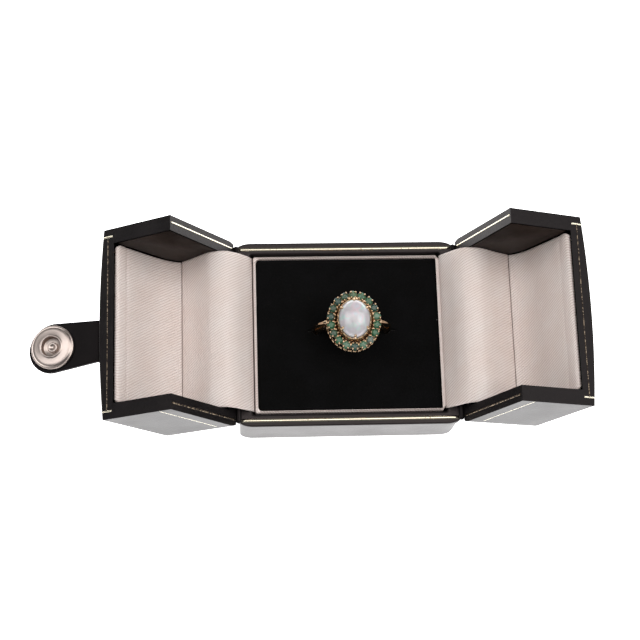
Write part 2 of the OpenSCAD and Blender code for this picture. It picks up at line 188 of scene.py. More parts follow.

# %% [markdown]
# The box is covered in black leatherette: paper or cloth with a vinyl skin, embossed with a fine pebble grain
# of about a third of a millimetre. The skin has a low gloss, so at a grazing angle it turns as pale as the
# table. That of the lids is duller, and the base's colour is a little lighter than theirs: painted light for
# the brighter shine on the base's rims. Lining paper and strap are made in the same way, with a finer grain
# and less gloss.


# %% Leatherette
def leatherette(name, hex_dark, hex_light, shine, grain=0.34 * MM, depth=0.035 * MM, roughness=0.34):
    """Vinyl skin: cells of the pebble grain give the bump, and a slow cloud varies colour and gloss. shine is
    the share of light that it mirrors: 0.5 is plain vinyl, more is lacquered, less is rubbed dull."""
    material, tree, shader = start_material(name)
    shader.inputs["Specular IOR Level"].default_value = shine
    shader.inputs["Specular Tint"].default_value = linear("#fff0ef")
    place = add_node(tree, "ShaderNodeTexCoord").outputs["Object"]
    cells = add_node(tree, "ShaderNodeTexVoronoi", {"Vector": place, "Scale": 1 / grain, "Randomness": 0.9},
                     feature="SMOOTH_F1")
    fine = add_node(tree, "ShaderNodeTexNoise", {"Vector": place, "Scale": 0.4 / grain, "Detail": 4.0})
    cloud = add_node(tree, "ShaderNodeTexNoise", {"Vector": place, "Scale": 1 / (9 * MM), "Detail": 3.0})
    height = add_node(tree, "ShaderNodeMath", {0: cells.outputs["Distance"], 1: fine.outputs["Fac"]},
                      operation="ADD")
    add_node(tree, "ShaderNodeBump", {"Height": height.outputs[0], "Distance": depth, "Strength": 1.0},
             into=shader.inputs["Normal"])
    add_node(tree, "ShaderNodeValToRGB", {"Fac": cloud.outputs["Fac"]},
             stops=[(0.3, hex_dark), (0.75, hex_light)], into=shader.inputs["Base Color"])
    add_node(tree, "ShaderNodeMapRange", {"Value": cloud.outputs["Fac"], "To Min": roughness - 0.05,
                                          "To Max": roughness + 0.08}, into=shader.inputs["Roughness"])
    return material


# The base's colours are lighter than the lids': painted light for the brighter shine on its rims
lightened_leatherette = leatherette("black pebble leatherette", "#191718", "#231f20", 0.32)
dull_leatherette = leatherette("dull black leatherette", "#100f10", "#171516", 0.17, depth=0.03 * MM)
lining_paper = leatherette("dark brown lining paper", "#1e1713", "#2b211c", 0.16, 0.2 * MM, 0.006 * MM, 0.5)
strap_hide = leatherette("black strap hide", "#0e0d0e", "#191718", 0.08, 0.28 * MM, 0.015 * MM, 0.5)

# %% [markdown]
# The linings are rayon satin, woven as a twill: fine slanting ribs 0.64 mm apart, with a soft sheen and an
# ivory colour that turns pink in the shade. The ribs follow the cloth, so they are drawn on each sheet's own
# map, which is in millimetres. Real threads are too fine to show, so they are drawn 0.45 mm wide.


# %% Satin
def satin(name, rib=0.64, slant=-28.0):
    """Twill: a wave across the slant makes the ribs, a finer wave along it the separate threads."""
    material, tree, shader = start_material(name, Roughness=0.45, IOR=1.5, Sheen_Weight=0.35,
                                            Sheen_Roughness=0.35)
    shader.inputs["Sheen Tint"].default_value = linear("#fff1ec")
    cloth = add_node(tree, "ShaderNodeUVMap", uv_map="cloth").outputs["UV"]
    turned = add_node(tree, "ShaderNodeMapping", {"Vector": cloth, "Rotation": (0, 0, math.radians(slant))})
    per_mm = math.tau / 20
    ribs = add_node(tree, "ShaderNodeTexWave", {"Vector": turned.outputs["Vector"], "Scale": per_mm / rib,
                                                "Distortion": 0.35, "Detail": 1.0, "Detail Scale": 3.0},
                    bands_direction="X")
    threads = add_node(tree, "ShaderNodeTexWave", {"Vector": turned.outputs["Vector"],
                                                   "Scale": per_mm / (0.7 * rib), "Distortion": 0.6},
                       bands_direction="Y")
    cloud = add_node(tree, "ShaderNodeTexNoise", {"Vector": cloth, "Scale": 0.12, "Detail": 2.0})
    weave = add_node(tree, "ShaderNodeMath", {0: threads.outputs["Fac"], 1: 0.35, 2: ribs.outputs["Fac"]},
                     operation="MULTIPLY_ADD")
    # The ramp's darker, pinker low end is painted shade in the grooves between ribs and threads
    shade = add_node(tree, "ShaderNodeValToRGB", {"Fac": weave.outputs[0]},
                     stops=[(0.05, "#cfc0bb"), (0.6, "#eae1de"), (1.0, "#f1eae7")])
    warm = add_node(tree, "ShaderNodeValToRGB", {"Fac": cloud.outputs["Fac"]},
                    stops=[(0.3, "#faf3ef"), (0.7, "#fffdfb")])
    mixed = add_node(tree, "ShaderNodeMix", {0: 1.0, 6: shade.outputs["Color"], 7: warm.outputs["Color"]},
                     data_type="RGBA", blend_type="MULTIPLY")
    tree.links.new(mixed.outputs[2], shader.inputs["Base Color"])
    add_node(tree, "ShaderNodeBump", {"Height": weave.outputs[0], "Distance": 0.05 * MM, "Strength": 0.7},
             into=shader.inputs["Normal"])
    return material


ivory_satin = satin("ivory twill satin")

# %% [markdown]
# The pad is covered in black velvet. Its pile swallows light head on and shows a faint grey edge at a slant,
# which is what a sheen layer does. Single hairs are too fine to show, so clumps of pile 0.15 mm wide are drawn.
# A few pale specks of dust lie in the pile.


# %% Velvet
def velvet(name):
    """Very dark and rough, with a sheen and a fine noise for the pile and rare specks from a wide one."""
    material, tree, shader = start_material(name, Roughness=0.95, Sheen_Weight=0.07, Sheen_Roughness=0.4)
    shader.inputs["Specular IOR Level"].default_value = 0.1
    place = add_node(tree, "ShaderNodeTexCoord").outputs["Object"]
    pile = add_node(tree, "ShaderNodeTexNoise", {"Vector": place, "Scale": 1 / (0.15 * MM), "Detail": 3.0})
    brushed = add_node(tree, "ShaderNodeTexNoise", {"Vector": place, "Scale": 1 / (7 * MM), "Detail": 2.0})
    dust = add_node(tree, "ShaderNodeTexVoronoi", {"Vector": place, "Scale": 1 / (5.5 * MM)})
    speck = add_node(tree, "ShaderNodeMapRange", {"Value": dust.outputs["Distance"], "From Min": 0.022,
                                                  "From Max": 0.034, "To Min": 0.35, "To Max": 0.0})
    ground = add_node(tree, "ShaderNodeValToRGB", {"Fac": brushed.outputs["Fac"]},
                      stops=[(0.35, "#060606"), (0.7, "#0a0a0b")])
    mixed = add_node(tree, "ShaderNodeMix", {0: speck.outputs["Result"], 6: ground.outputs["Color"],
                                             7: linear("#8b8a88")}, data_type="RGBA")
    tree.links.new(mixed.outputs[2], shader.inputs["Base Color"])
    add_node(tree, "ShaderNodeBump", {"Height": pile.outputs["Fac"], "Distance": 0.12 * MM, "Strength": 1.0},
             into=shader.inputs["Normal"])
    return material


black_velvet = velvet("black cotton velvet")

# %% [markdown]
# The metals are the ring's polished nine carat gold, which is a little pink from its copper; gold foil, pressed
# into the leatherette with a hot wheel, and the same foil made darker and patchy, a brown line that is painted
# shade on the lids' front rims; and the press stud's nickel plate.


# %% Metals
def metal(name, hex_colour, roughness, wear=0.0, hex_worn="#2a2320", patch=0.25 * MM, depth=0.003 * MM):
    """Metal whose gloss and height vary a little over patches of the given size. wear is the share of the
    surface that is rubbed down to the worn colour."""
    material, tree, shader = start_material(name, Metallic=1.0)
    place = add_node(tree, "ShaderNodeTexCoord").outputs["Object"]
    cloud = add_node(tree, "ShaderNodeTexNoise", {"Vector": place, "Scale": 1 / patch, "Detail": 4.0})
    add_node(tree, "ShaderNodeMapRange", {"Value": cloud.outputs["Fac"], "To Min": roughness * 0.7,
                                          "To Max": roughness * 1.5}, into=shader.inputs["Roughness"])
    add_node(tree, "ShaderNodeBump", {"Height": cloud.outputs["Fac"], "Distance": depth, "Strength": 1.0},
             into=shader.inputs["Normal"])
    if wear:
        add_node(tree, "ShaderNodeValToRGB", {"Fac": cloud.outputs["Fac"]},
                 stops=[(wear - 0.04, hex_worn), (wear + 0.04, hex_colour)], into=shader.inputs["Base Color"])
    else:
        shader.inputs["Base Color"].default_value = linear(hex_colour)
    return material


nine_carat_gold = metal("polished nine carat gold", "#dcc0a0", 0.14)
gold_foil = metal("hot pressed gold foil", "#fcf4dc", 0.13, 0.34, "#8a7a5a", 0.6 * MM, 0.004 * MM)
# Darker foil for the lids' front rims and free edges: on the front rims its dark colour is painted shade
darkened_foil = metal("worn gold foil", "#8b7c6a", 0.35, 0.52, "#231b15", 0.5 * MM, 0.01 * MM)
nickel_plate = metal("nickel plate", "#c0b3ac", 0.3)

# %% [markdown]
# The opal is a milky cabochon. Its body is translucent and slightly violet, and patches of the colour play,
# green, blue and pink, lie under the polish. Real patches come from stacked silica spheres; here large soft
# cells pick the hue and a cloud decides how much of it shows.


# %% Opal
def opal_stone(name):
    """Milky body with cells of hue, mixed by a cloud, under a clear polish."""
    material, tree, shader = start_material(name, Roughness=0.3, IOR=1.45, Coat_Weight=1.0, Coat_Roughness=0.2,
                                            Coat_IOR=1.7, Subsurface_Weight=0.35)
    shader.inputs["Subsurface Radius"].default_value = (1.0, 0.9, 1.1)
    shader.inputs["Subsurface Scale"].default_value = 0.8 * MM
    place = add_node(tree, "ShaderNodeTexCoord").outputs["Object"]
    warp = add_node(tree, "ShaderNodeTexNoise", {"Vector": place, "Scale": 1 / (1.6 * MM), "Detail": 2.0})
    bent = add_node(tree, "ShaderNodeVectorMath", {0: warp.outputs["Color"], 1: (0.9 * MM,) * 3, 2: place},
                    operation="MULTIPLY_ADD")
    cells = add_node(tree, "ShaderNodeTexVoronoi", {"Vector": bent.outputs["Vector"], "Scale": 1 / (2.4 * MM)},
                     feature="SMOOTH_F1")
    hue = add_node(tree, "ShaderNodeSeparateColor", {"Color": cells.outputs["Color"]})
    play = add_node(tree, "ShaderNodeValToRGB", {"Fac": hue.outputs["Red"]},
                    stops=[(0.0, "#a4e2c2"), (0.3, "#d6cedb"), (0.5, "#b9dfd8"), (0.7, "#e2c9d1"),
                           (0.9, "#c6d6de")])
    amount = add_node(tree, "ShaderNodeTexNoise", {"Vector": place, "Scale": 1 / (2.2 * MM), "Detail": 2.0})
    share = add_node(tree, "ShaderNodeMapRange", {"Value": amount.outputs["Fac"], "From Min": 0.42,
                                                  "From Max": 0.62, "To Min": 0.0, "To Max": 0.85})
    mixed = add_node(tree, "ShaderNodeMix", {0: share.outputs["Result"], 6: linear("#cac6ca"),
                                             7: play.outputs["Color"]}, data_type="RGBA")
    tree.links.new(mixed.outputs[2], shader.inputs["Base Color"])
    return material


opal_material = opal_stone("white opal")

# %% [markdown]
# The emeralds are small, round and full of inclusions, so they look milky rather than clear, and no two match.
# Each tone is one material: green glass that light passes only in part, clouded by a noise.


# %% Emeralds
def emerald_stone(name, hex_deep, hex_pale, clear=0.35):
    """Beryl with veils: the deep colour where it is clear, the pale one where veils scatter the light."""
    material, tree, shader = start_material(name, Roughness=0.12, IOR=1.58, Transmission_Weight=clear)
    place = add_node(tree, "ShaderNodeTexCoord").outputs["Object"]
    veils = add_node(tree, "ShaderNodeTexNoise", {"Vector": place, "Scale": 1 / (0.7 * MM), "Detail": 5.0,
                                                  "Distortion": 1.2})
    add_node(tree, "ShaderNodeValToRGB", {"Fac": veils.outputs["Fac"]},
             stops=[(0.35, hex_deep), (0.68, hex_pale)], into=shader.inputs["Base Color"])
    return material


TONES = {
    "yellow green": emerald_stone("emerald, yellow green", "#3a5f40", "#6f9066"),
    "bright": emerald_stone("emerald, bright green", "#27603f", "#55906c"),
    "mint": emerald_stone("emerald, pale mint", "#44785a", "#7fa98c"),
    "grey": emerald_stone("emerald, milky grey green", "#4b6658", "#889990"),
    "teal": emerald_stone("emerald, dark teal", "#1b4238", "#3d6c5c"),
    "deep": emerald_stone("emerald, deep green", "#22482f", "#487055"),
}
# Tone of each stone, clockwise from the top of the ring's face
STONE_TONES = ["yellow green", "bright", "bright", "teal", "mint", "bright", "bright", "grey", "mint",
               "teal", "mint", "bright", "deep", "bright", "teal", "deep", "teal", "deep"]
for number, tone in enumerate(STONE_TONES, 1):
    stone = frame["nodes"][f"emerald_{number:02d}"]
    stone.data.materials.clear()
    stone.data.materials.append(TONES[tone])
print("emeralds", len(STONE_TONES), "in", len(TONES), "tones")

# %% [markdown]
# The base of the box is a tray: a wall with a lip around its top, crisp under the edge and soft above it. Its
# form is one profile, a list of insets and heights, carried round a rectangle with rounded corners.


# %% The base
def rounded_rectangle(half_x, half_y, radius_x, radius_y=None, steps=8):
    """Points and outward normals of a rectangle with round corners, counted anticlockwise. Each corner is an
    arc of an ellipse: its centre plus (radius_x cos a, radius_y sin a), with the normal (radius_y cos a,
    radius_x sin a)."""
    radii = np.array([radius_x, radius_x if radius_y is None else radius_y])
    angle = np.radians(np.linspace(0, 90, steps + 1))
    turns = np.concatenate([angle + k * math.pi / 2 for k in range(4)])
    arc = np.stack([np.cos(turns), np.sin(turns)], 1)
    sign = np.array([[1, 1], [-1, 1], [-1, -1], [1, -1]]).repeat(steps + 1, 0)
    normal = arc * radii[::-1] / np.linalg.norm(arc * radii[::-1], axis=1, keepdims=True)
    return sign * (np.array([half_x, half_y]) - radii) + radii * arc, normal


def fillet(inset, height, radius, start, end, steps=4):
    """Arc of a rounded edge as (inset, height) pairs, from start to end degrees: 0 is outwards, 90 upwards."""
    angle = np.radians(np.linspace(start, end, steps + 1))
    return np.stack([inset + radius - radius * np.cos(angle), height + radius * np.sin(angle)], 1)


hinge_x = abs(JOINTS["right_lid"]["pos_m"][0])
rim_top = JOINTS["right_lid"]["pos_m"][2]
half_depth = span("base_shell")[1][1]
corner_x, corner_y = 4.0 * MM, 1.7 * MM
lid_corner = 2.8 * MM
lip_out = 0.4 * MM
lip_height = 2.6 * MM
trim_low, trim_high = span("satin_trim")
clearance = 0.1 * MM


def carried(outline, normal, profile):
    """Rings of points: the outline moved inwards by each inset of the profile, at each height."""
    flat = outline[None] - profile[:, 0, None, None] * normal[None]
    height = np.broadcast_to(profile[:, 1, None, None], flat.shape[:2] + (1,))
    return np.concatenate([flat, height], 2)


outline, normal = rounded_rectangle(hinge_x, half_depth, corner_x, corner_y)
lip_low = rim_top - lip_height
outer_profile = np.concatenate([
    fillet(lip_out, 0.6 * MM, 0.6 * MM, -90, 0),
    [[lip_out, lip_low - 0.12 * MM], [lip_out - 0.08 * MM, lip_low]],
    fillet(0, lip_low + 0.3 * MM, 0.25 * MM, -80, 0),
    fillet(0, rim_top - 0.45 * MM, 0.45 * MM, 0, 90, 5),
])
inner_outline, inner_normal = rounded_rectangle(trim_high[0] + clearance, trim_high[1] + clearance, 0.5 * MM)
inner_profile = np.array([[-0.7 * MM, rim_top], [-0.3 * MM, rim_top - 0.12 * MM], [0, rim_top - 0.45 * MM],
                          [0, trim_low[2] - clearance]])
tray_rings = np.concatenate([carried(outline, normal, outer_profile),
                             carried(inner_outline, inner_normal, inner_profile)])
base_leather = make_piece("base_leather", *lofted(tray_rings), "base", "leatherette", lightened_leatherette)
even_shading(base_leather)
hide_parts("base_shell")

# %% [markdown]
# On each hinge line the leatherette is rolled into a thin fold, a bead that both the base and the lid lean on.
# It is drawn as a round bar: rings of radius r cos a, at the distance r sin a past each end.


# %% The folds
def along_path(path, radii, sides=12, aside=(0.23, -0.41, 0.12)):
    """Round wire along a path of points with a radius at each: rings square to the path, closed at both ends.
    aside is any direction off the path: each ring starts square to it."""
    direction = np.gradient(path, axis=0)
    direction /= np.linalg.norm(direction, axis=1, keepdims=True)
    side = np.cross(direction, aside)
    side /= np.linalg.norm(side, axis=1, keepdims=True)
    other = np.cross(direction, side)
    turn = circle(sides)[None, :, None]
    ring = np.cos(turn) * side[:, None] + np.sin(turn) * other[:, None]
    return lofted(path[:, None] + np.asarray(radii)[:, None, None] * ring)


fold_radius = 0.77 * MM
fold_reach = half_depth - 1.65 * MM
bow = np.radians(np.linspace(-88, 88, 10))
along_hinge = np.copysign(fold_reach, bow) + fold_radius * np.sin(bow)
folds = []
for x in (-hinge_x, hinge_x):
    path = np.stack([np.full(len(bow), x), along_hinge, np.full(len(bow), rim_top)], 1)
    folds.append(along_path(path, fold_radius * np.cos(bow), 16, aside=(0.31, 0.17, 0.93)))
# The folds take the lids' darker, duller leatherette: painted shade for the crease between base and lid
make_piece("hinge_folds", *joined(folds), "base", "leatherette", dull_leatherette)

# %% [markdown]
# A narrow satin-covered frame stands between the rim and the pad. It is one closed profile with rounded top
# edges, carried round the outer outline and back down the inner one.

# %% The satin frame
pad_low, pad_high = span("velvet_pad")
pad_centre = (pad_low + pad_high) / 2
trim_edge = 0.38 * MM
# The frame sits a little to the front, and the map of its satin takes the profile's steps as equally long
trim_forward, map_step = 0.13 * MM, 0.3 * MM
trim_shoulder = trim_high[2] - 0.1 * MM - trim_edge
trim_rise = np.concatenate([[[0, trim_low[2]]], fillet(0, trim_shoulder, trim_edge, 0, 90)])
trim_outer = rounded_rectangle(trim_high[0] - 0.7 * MM, trim_high[1] - 0.3 * MM, 0.6 * MM)
trim_inner = rounded_rectangle(*(pad_high - pad_low)[:2] / 2 + 0.27 * MM, 1.1 * MM)
inner_rings = carried(*trim_inner, trim_rise[::-1] * [-1, 1]) + [pad_centre[0], 0, 0]
trim_rings = np.concatenate([carried(*trim_outer, trim_rise), inner_rings]) - [0, trim_forward, 0]
first_ring = trim_rings[0, :, :2]
around_frame = np.cumsum(np.linalg.norm(first_ring - np.roll(first_ring, 1, axis=0), axis=1))
over_frame = np.arange(len(trim_rings))[:, None] * map_step
trim_uv = np.stack(np.broadcast_arrays(around_frame, over_frame), 2).reshape(-1, 2) / MM
points, faces = lofted(trim_rings, wrap=True)
satin_frame = make_piece("satin_frame", points, faces, "base", "satin", ivory_satin, uv=trim_uv)
even_shading(satin_frame)
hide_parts("satin_trim")

# %% [markdown]
# The finger hole is 17.6 mm across, UK size O, and the shank under the finger is 1.1 mm thick. So the hole's
# middle lies that far above the ring's lowest point in the frame.

# %% Where the ring is
ring_low, ring_high = span("ring_setting")
shank_thick = 1.1 * MM
finger_radius = 8.8 * MM
shank_outer = finger_radius + shank_thick
finger_centre = np.append((ring_low + ring_high)[:2] / 2, ring_low[2] + shank_outer)
print("finger hole", round(2 * finger_radius / MM, 2), "mm across")

# %% [markdown]
# The pad is foam under velvet. Its face is a height over the plan: a soft edge all round, a low crown, and the
# slit that grips the shank. The lips of the slit touch between the two places where the shank goes in.


# %% The velvet pad
pad_spread = 0.2 * MM
pad_edge, pad_crown = 0.5 * MM, 0.2 * MM
# The slit's half width, how much wider it gapes at the shank and over what reach, and the same for its depth
slit_half, gape, gape_reach = 0.1 * MM, 0.85 * MM, 0.95 * MM
slit_depth, dip, dip_reach = 0.9 * MM, 1.6 * MM, 1.2 * MM
# How far the slit runs past the shank, the length over which it fades there, and the softness of its lips
slit_past, slit_fade, lip_soft = 1.6 * MM, 0.5 * MM, 0.09 * MM


def pad_height(x, y):
    """Height of the velvet: the top, less a quarter round at the edge, a crown that falls with the fourth power
    of the distance from the middle, and the slit, whose depth falls off across its lips as a logistic curve."""
    half_x, half_y = (pad_high - pad_low)[:2] / 2 + pad_spread
    u, v = x - pad_centre[0], y - pad_centre[1]
    beyond = np.hypot(np.maximum(np.abs(u) - half_x + pad_edge, 0), np.maximum(np.abs(v) - half_y + pad_edge, 0))
    round_off = pad_edge - np.sqrt(np.maximum(pad_edge ** 2 - np.minimum(beyond, pad_edge) ** 2, 0))
    crown = pad_crown * ((u / half_x) ** 4 + (v / half_y) ** 4) / 2
    reach = np.sqrt(shank_outer ** 2 - (pad_high[2] - finger_centre[2]) ** 2)
    from_shank = np.abs(np.abs(x - finger_centre[0]) - reach + 0.5 * shank_thick)
    open_half = slit_half + gape * np.exp(-(from_shank / gape_reach) ** 4)
    past_end = np.clip((np.abs(x - finger_centre[0]) - reach - slit_past) / slit_fade, 0, 1)
    depth = (1 - past_end) * (slit_depth + dip * np.exp(-(from_shank / dip_reach) ** 2))
    slit = depth / (1 + np.exp((np.abs(y - finger_centre[1]) - open_half) / lip_soft))
    return pad_high[2] - round_off - crown - slit


def spaced(low, high, fine_middle, fine_half, fine, coarse=0.3 * MM):
    """Places from low to high, close together around a middle."""
    near, far = fine_middle - fine_half, fine_middle + fine_half
    return np.unique(np.concatenate([np.arange(low, near, coarse), np.arange(near, far, fine),
                                     np.arange(far, high, coarse), [high]]))


pad_xs = spaced(pad_low[0] - pad_spread, pad_high[0] + pad_spread, finger_centre[0], 12.5 * MM, 0.18 * MM)
pad_ys = spaced(pad_low[1] - pad_spread, pad_high[1] + pad_spread, finger_centre[1], 1.6 * MM, 0.08 * MM)
grid_x, grid_y = np.meshgrid(pad_xs, pad_ys, indexing="ij")
pad_top = np.stack([grid_x, grid_y, pad_height(grid_x, grid_y)], 2)
pad_skirt = np.pad(pad_top, ((1, 1), (1, 1), (0, 0)), "edge")
for border in (pad_skirt[0], pad_skirt[-1], pad_skirt[:, 0], pad_skirt[:, -1]):
    border[:, 2] = pad_low[2]
rows, cols = pad_skirt.shape[:2]
numbers = np.arange(rows * cols).reshape(rows, cols)
underside = np.concatenate([numbers[:, 0], numbers[-1, 1:], numbers[-2::-1, -1], numbers[0, -2:0:-1]])
pad_faces = grid_faces(rows, cols) + [underside.tolist()]
pad_points = pad_skirt.reshape(-1, 3)
velvet_cushion = make_piece("velvet_cushion", pad_points, pad_faces, "base", "velvet", black_velvet)
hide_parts("velvet_pad")

# %% [markdown]
# The ring's metal is soldered from wire, tube and plate, so it is one piece made of many small surfaces. They
# are drawn around the middle of the finger hole with the ring's face up, in millimetres, and moved into place
# last. The shank is a D-shaped section carried round the finger. On each side a strut leaves it and rises to
# the edge of the halo, which is the bright shoulder that shows beside the head.


# %% The shank
def shank_surface(turn, around):
    """Point at the angle turn from the top, clockwise, and the angle around the section. The section lies
    between the finger's radius and that plus the thickness: a half ellipse outside, and a flatter one inside."""
    from_top = np.minimum(turn, 360 - turn)
    shoulder = np.clip((78 - from_top) / 38, 0, 1) ** 2
    thick, half_width = 1.1 + 0.95 * shoulder, 0.85 + 0.3 * shoulder
    rise = np.sin(around)
    height = np.where(rise > 0, 0.4 + 0.6 * rise, 0.4 - 0.4 * np.sqrt(np.abs(rise)))
    radius = finger_radius / MM + thick * height
    across = half_width * np.sign(np.cos(around)) * np.abs(np.cos(around)) ** 0.8
    angle = np.radians(turn)
    return np.stack([radius * np.sin(angle), across, radius * np.cos(angle)], -1)


turn, around = np.meshgrid(np.linspace(36, 324, 145), circle(24), indexing="ij")
gold_parts = [lofted(shank_surface(turn, around))]


def resampled(knots, steps):
    """Rows on the straight lines between the knots: step 1.5 is half way from knot 1 to knot 2."""
    return np.stack([np.interp(steps, np.arange(len(knots)), column) for column in knots.T], 1)


def shoulder_strut(side, rows=30, sides=16):
    """Strut from the side of the shank to the halo. Each knot has the angle from the top, the inner and outer
    distance from the finger's middle and half the width; an ellipse is carried along between them."""
    knots = np.array([[33, 12.0, 12.95, 0.62], [38, 11.95, 12.9, 0.5], [45, 11.8, 12.7, 0.42],
                      [54, 11.35, 12.2, 0.38], [64, 10.65, 11.4, 0.34], [72, 9.9, 10.62, 0.32],
                      [80, 9.0, 9.75, 0.3]])
    row = resampled(knots, np.linspace(0, len(knots) - 1, rows))
    row[1:-1] = (row[:-2] + 2 * row[1:-1] + row[2:]) / 4
    degrees, inner, outer, half_width = row.T[:, :, None]
    turn, around = np.radians(degrees), circle(sides)[None]
    reach = (inner + outer) / 2 + (outer - inner) / 2 * np.cos(around)
    width = half_width * np.sin(around)
    return lofted(np.stack([side * reach * np.sin(turn), width, reach * np.cos(turn)], -1))


gold_parts += [shoulder_strut(-1), shoulder_strut(1)]

# %% [markdown]
# The head is an oval basket. Its parts repeat around ellipses: a lower rail, pairs of claws with a bead on top,
# and a cup under each stone. A tapered wire with a round bead is a row of rings from its foot to its tip.

# %% Sizes of the head
HALO_OUT, HALO_MID, HALO_IN = (7.05, 7.84), (6.03, 6.96), (5.0, 6.07)
bead_height = (span("emerald_01")[1][2] - finger_centre[2]) / MM + 0.02
stone_girdle = bead_height - 0.25
STONES = 18
print("halo", 2 * HALO_OUT[0], "by", 2 * HALO_OUT[1], "mm, beads", round(bead_height, 2), "mm from the middle")


# %% Helpers for the head
def even_angle(axes, degrees):
    """Angle on an ellipse that spaces points evenly along it, to first order: the angle less k sin(2 angle)."""
    share = (axes[1] ** 2 - axes[0] ** 2) / (axes[1] ** 2 + axes[0] ** 2)
    return np.radians(degrees) - share / 4 * np.sin(2 * np.radians(degrees))


def on_ellipse(axes, angle, height, out=0.0):
    """Point of the ellipse with half widths axes + out, at that angle and height."""
    angle, height = np.broadcast_arrays(angle, height)
    return np.stack([(axes[0] + out) * np.cos(angle), (axes[1] + out) * np.sin(angle), height], -1)


def rail_height(angle):
    """The gallery rail's height: it dips towards the shoulders with the square of the cosine."""
    return finger_radius / MM + 0.62 - 1.1 * np.cos(angle) ** 2


def claw(foot, tip, wire, bead):
    """Claw: a wire that widens a little, then a ball of radius bead around the tip."""
    length = np.linalg.norm(tip - foot)
    neck = 1.12 * wire
    ball = np.linspace(math.asin(neck / bead) - math.pi / 2, math.pi / 2 - 0.06, 8)
    places = np.concatenate([[0, 0.5 * length], length + bead * np.sin(ball)])
    radii = np.concatenate([[wire, neck], bead * np.cos(ball)])
    return along_path(foot + places[:, None] * (tip - foot) / length, radii)


# %% The rail and the claws of the halo
angle = circle(120)
across = circle(12)[None, :, None]
centre = on_ellipse(HALO_OUT, angle, rail_height(angle), -0.22)
outwards = np.stack([np.cos(angle), np.sin(angle), 0 * angle], 1)
rail_wire = 0.2
upwards = np.array([0, 0, 1.0])
rail = centre[:, None] + rail_wire * (np.cos(across) * outwards[:, None] + np.sin(across) * upwards)
gold_parts.append(lofted(rail, wrap=True))
# Outer claws rise from the rail and lean in over the stones. Inner ones start beside the cups.
for number in range(2 * STONES):
    degrees = 90 + (number + 0.5) * 180 / STONES
    outer_at, inner_at = even_angle(HALO_OUT, degrees), even_angle(HALO_IN, degrees)
    gold_parts.append(claw(on_ellipse(HALO_OUT, outer_at, rail_height(outer_at) - 0.1, 0.14),
                           on_ellipse(HALO_OUT, outer_at, bead_height + 0.02, -0.27), wire=0.19, bead=0.29))
    gold_parts.append(claw(on_ellipse(HALO_IN, inner_at, stone_girdle - 0.75, -0.1),
                           on_ellipse(HALO_IN, inner_at, bead_height + 0.08, 0.04), wire=0.18, bead=0.26))
print("claws", 4 * STONES, "in two rows")

# %% [markdown]
# Under each emerald is a small cup, hidden but for a line of gold, and a thin plate joins the cups. Cups are
# turned: a profile of radius and height, carried round an axis that leans outwards with its stone.


# %% The cups and the plate
def turned(profile, sides=24, closed=False):
    """Profile of (radius, height) pairs carried round the vertical axis."""
    radius, height = np.array(profile, float).T[:, :, None]
    angle = circle(sides)
    rings = np.stack(np.broadcast_arrays(radius * np.cos(angle), radius * np.sin(angle), height), -1)
    return lofted(rings, caps=not closed, wrap=closed)


lean = math.radians(6)
for number in range(STONES):
    place = even_angle(HALO_MID, 90 - number * 360 / STONES)
    at = on_ellipse(HALO_MID, place, stone_girdle)
    heading = math.atan2(at[1], at[0])
    placed = Matrix.Translation(at) @ Matrix.Rotation(heading, 4, "Z") @ Matrix.Rotation(lean, 4, "Y")
    points, faces = turned([(0.45, -0.85), (0.6, -0.85), (0.86, -0.5), (0.9, -0.42), (0.86, -0.4), (0.78, -0.48),
                            (0.45, -0.75)], closed=True)
    matrix = np.array(placed)
    gold_parts.append((points @ matrix[:3, :3].T + matrix[:3, 3], faces))
plate = [on_ellipse(HALO_MID, angle, stone_girdle + level, out)
         for out, level in ((0.4, -0.85), (0.4, -0.62), (-1.6, -0.62), (-1.6, -0.85))]
gold_parts.append(lofted(plate, wrap=True))

# %% [markdown]
# The opal sits in a collet with a scalloped edge, held by six claws bent over its rim. The collet is a profile
# of growth and height around the stone's outline, and the scallops are half waves cut into its upper edge.

# %% The collet and its claws
opal_low, opal_high = span("opal")
opal_half = (opal_high - opal_low)[:2] / 2 / MM
girdle_rise = 0.55
opal_girdle = (opal_low[2] - finger_centre[2]) / MM + girdle_rise
collet_foot = stone_girdle - 0.6 - opal_girdle
angle = circle(216)
scallop = 0.38 * (1 - np.abs(np.sin(9 * angle)) ** 0.8)
collet_profile = [(-0.1, collet_foot, 0), (0.62, -1.7, 0), (0.5, -1.0, 0.3), (0.36, -0.3, 1), (0.32, -0.1, 1),
                  (0.26, -0.02, 1), (0.16, -0.02, 1), (0.1, -0.1, 1), (0.08, -0.65, 0), (-0.6, -0.65, 0),
                  (-0.6, collet_foot, 0)]
collet = [on_ellipse(opal_half, angle, opal_girdle + level - cut * scallop, out)
          for out, level, cut in collet_profile]
gold_parts.append(lofted(collet, wrap=True))
for degrees in (33, 90, 147, 213, 270, 327):
    heights = opal_girdle + np.array([collet_foot, -0.7, 0.25, 0.85, 1.15])
    knots = on_ellipse(opal_half, math.radians(degrees), heights, np.array([0.3, 0.4, 0.4, 0.12, -0.25]))
    step = np.linspace(0, 4, 21)
    path = resampled(knots, step)
    for _ in range(3):
        path[1:-1] = (path[:-2] + 2 * path[1:-1] + path[2:]) / 4
    ending = (path[-1] - path[-2]) / np.linalg.norm(path[-1] - path[-2])
    bow = np.linspace(0.15, math.pi / 2 - 0.08, 5)
    path = np.concatenate([path, path[-1] + 0.3 * np.sin(bow)[:, None] * ending])
    radii = np.concatenate([np.interp(step, [0, 2, 3, 4], [0.24, 0.27, 0.31, 0.33]), 0.33 * np.cos(bow)])
    gold_parts.append(along_path(path, radii, 14))

points, faces = joined(gold_parts)
gold_setting = make_piece("gold_setting", finger_centre + MM * points, faces, "base", "gold", nine_carat_gold,
                          weld=0.0005 * MM)
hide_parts("ring_setting")

# %% [markdown]
# The opal is cut as a cabochon: a flat back, a thin rounded girdle and a high dome. Each level is an ellipse.

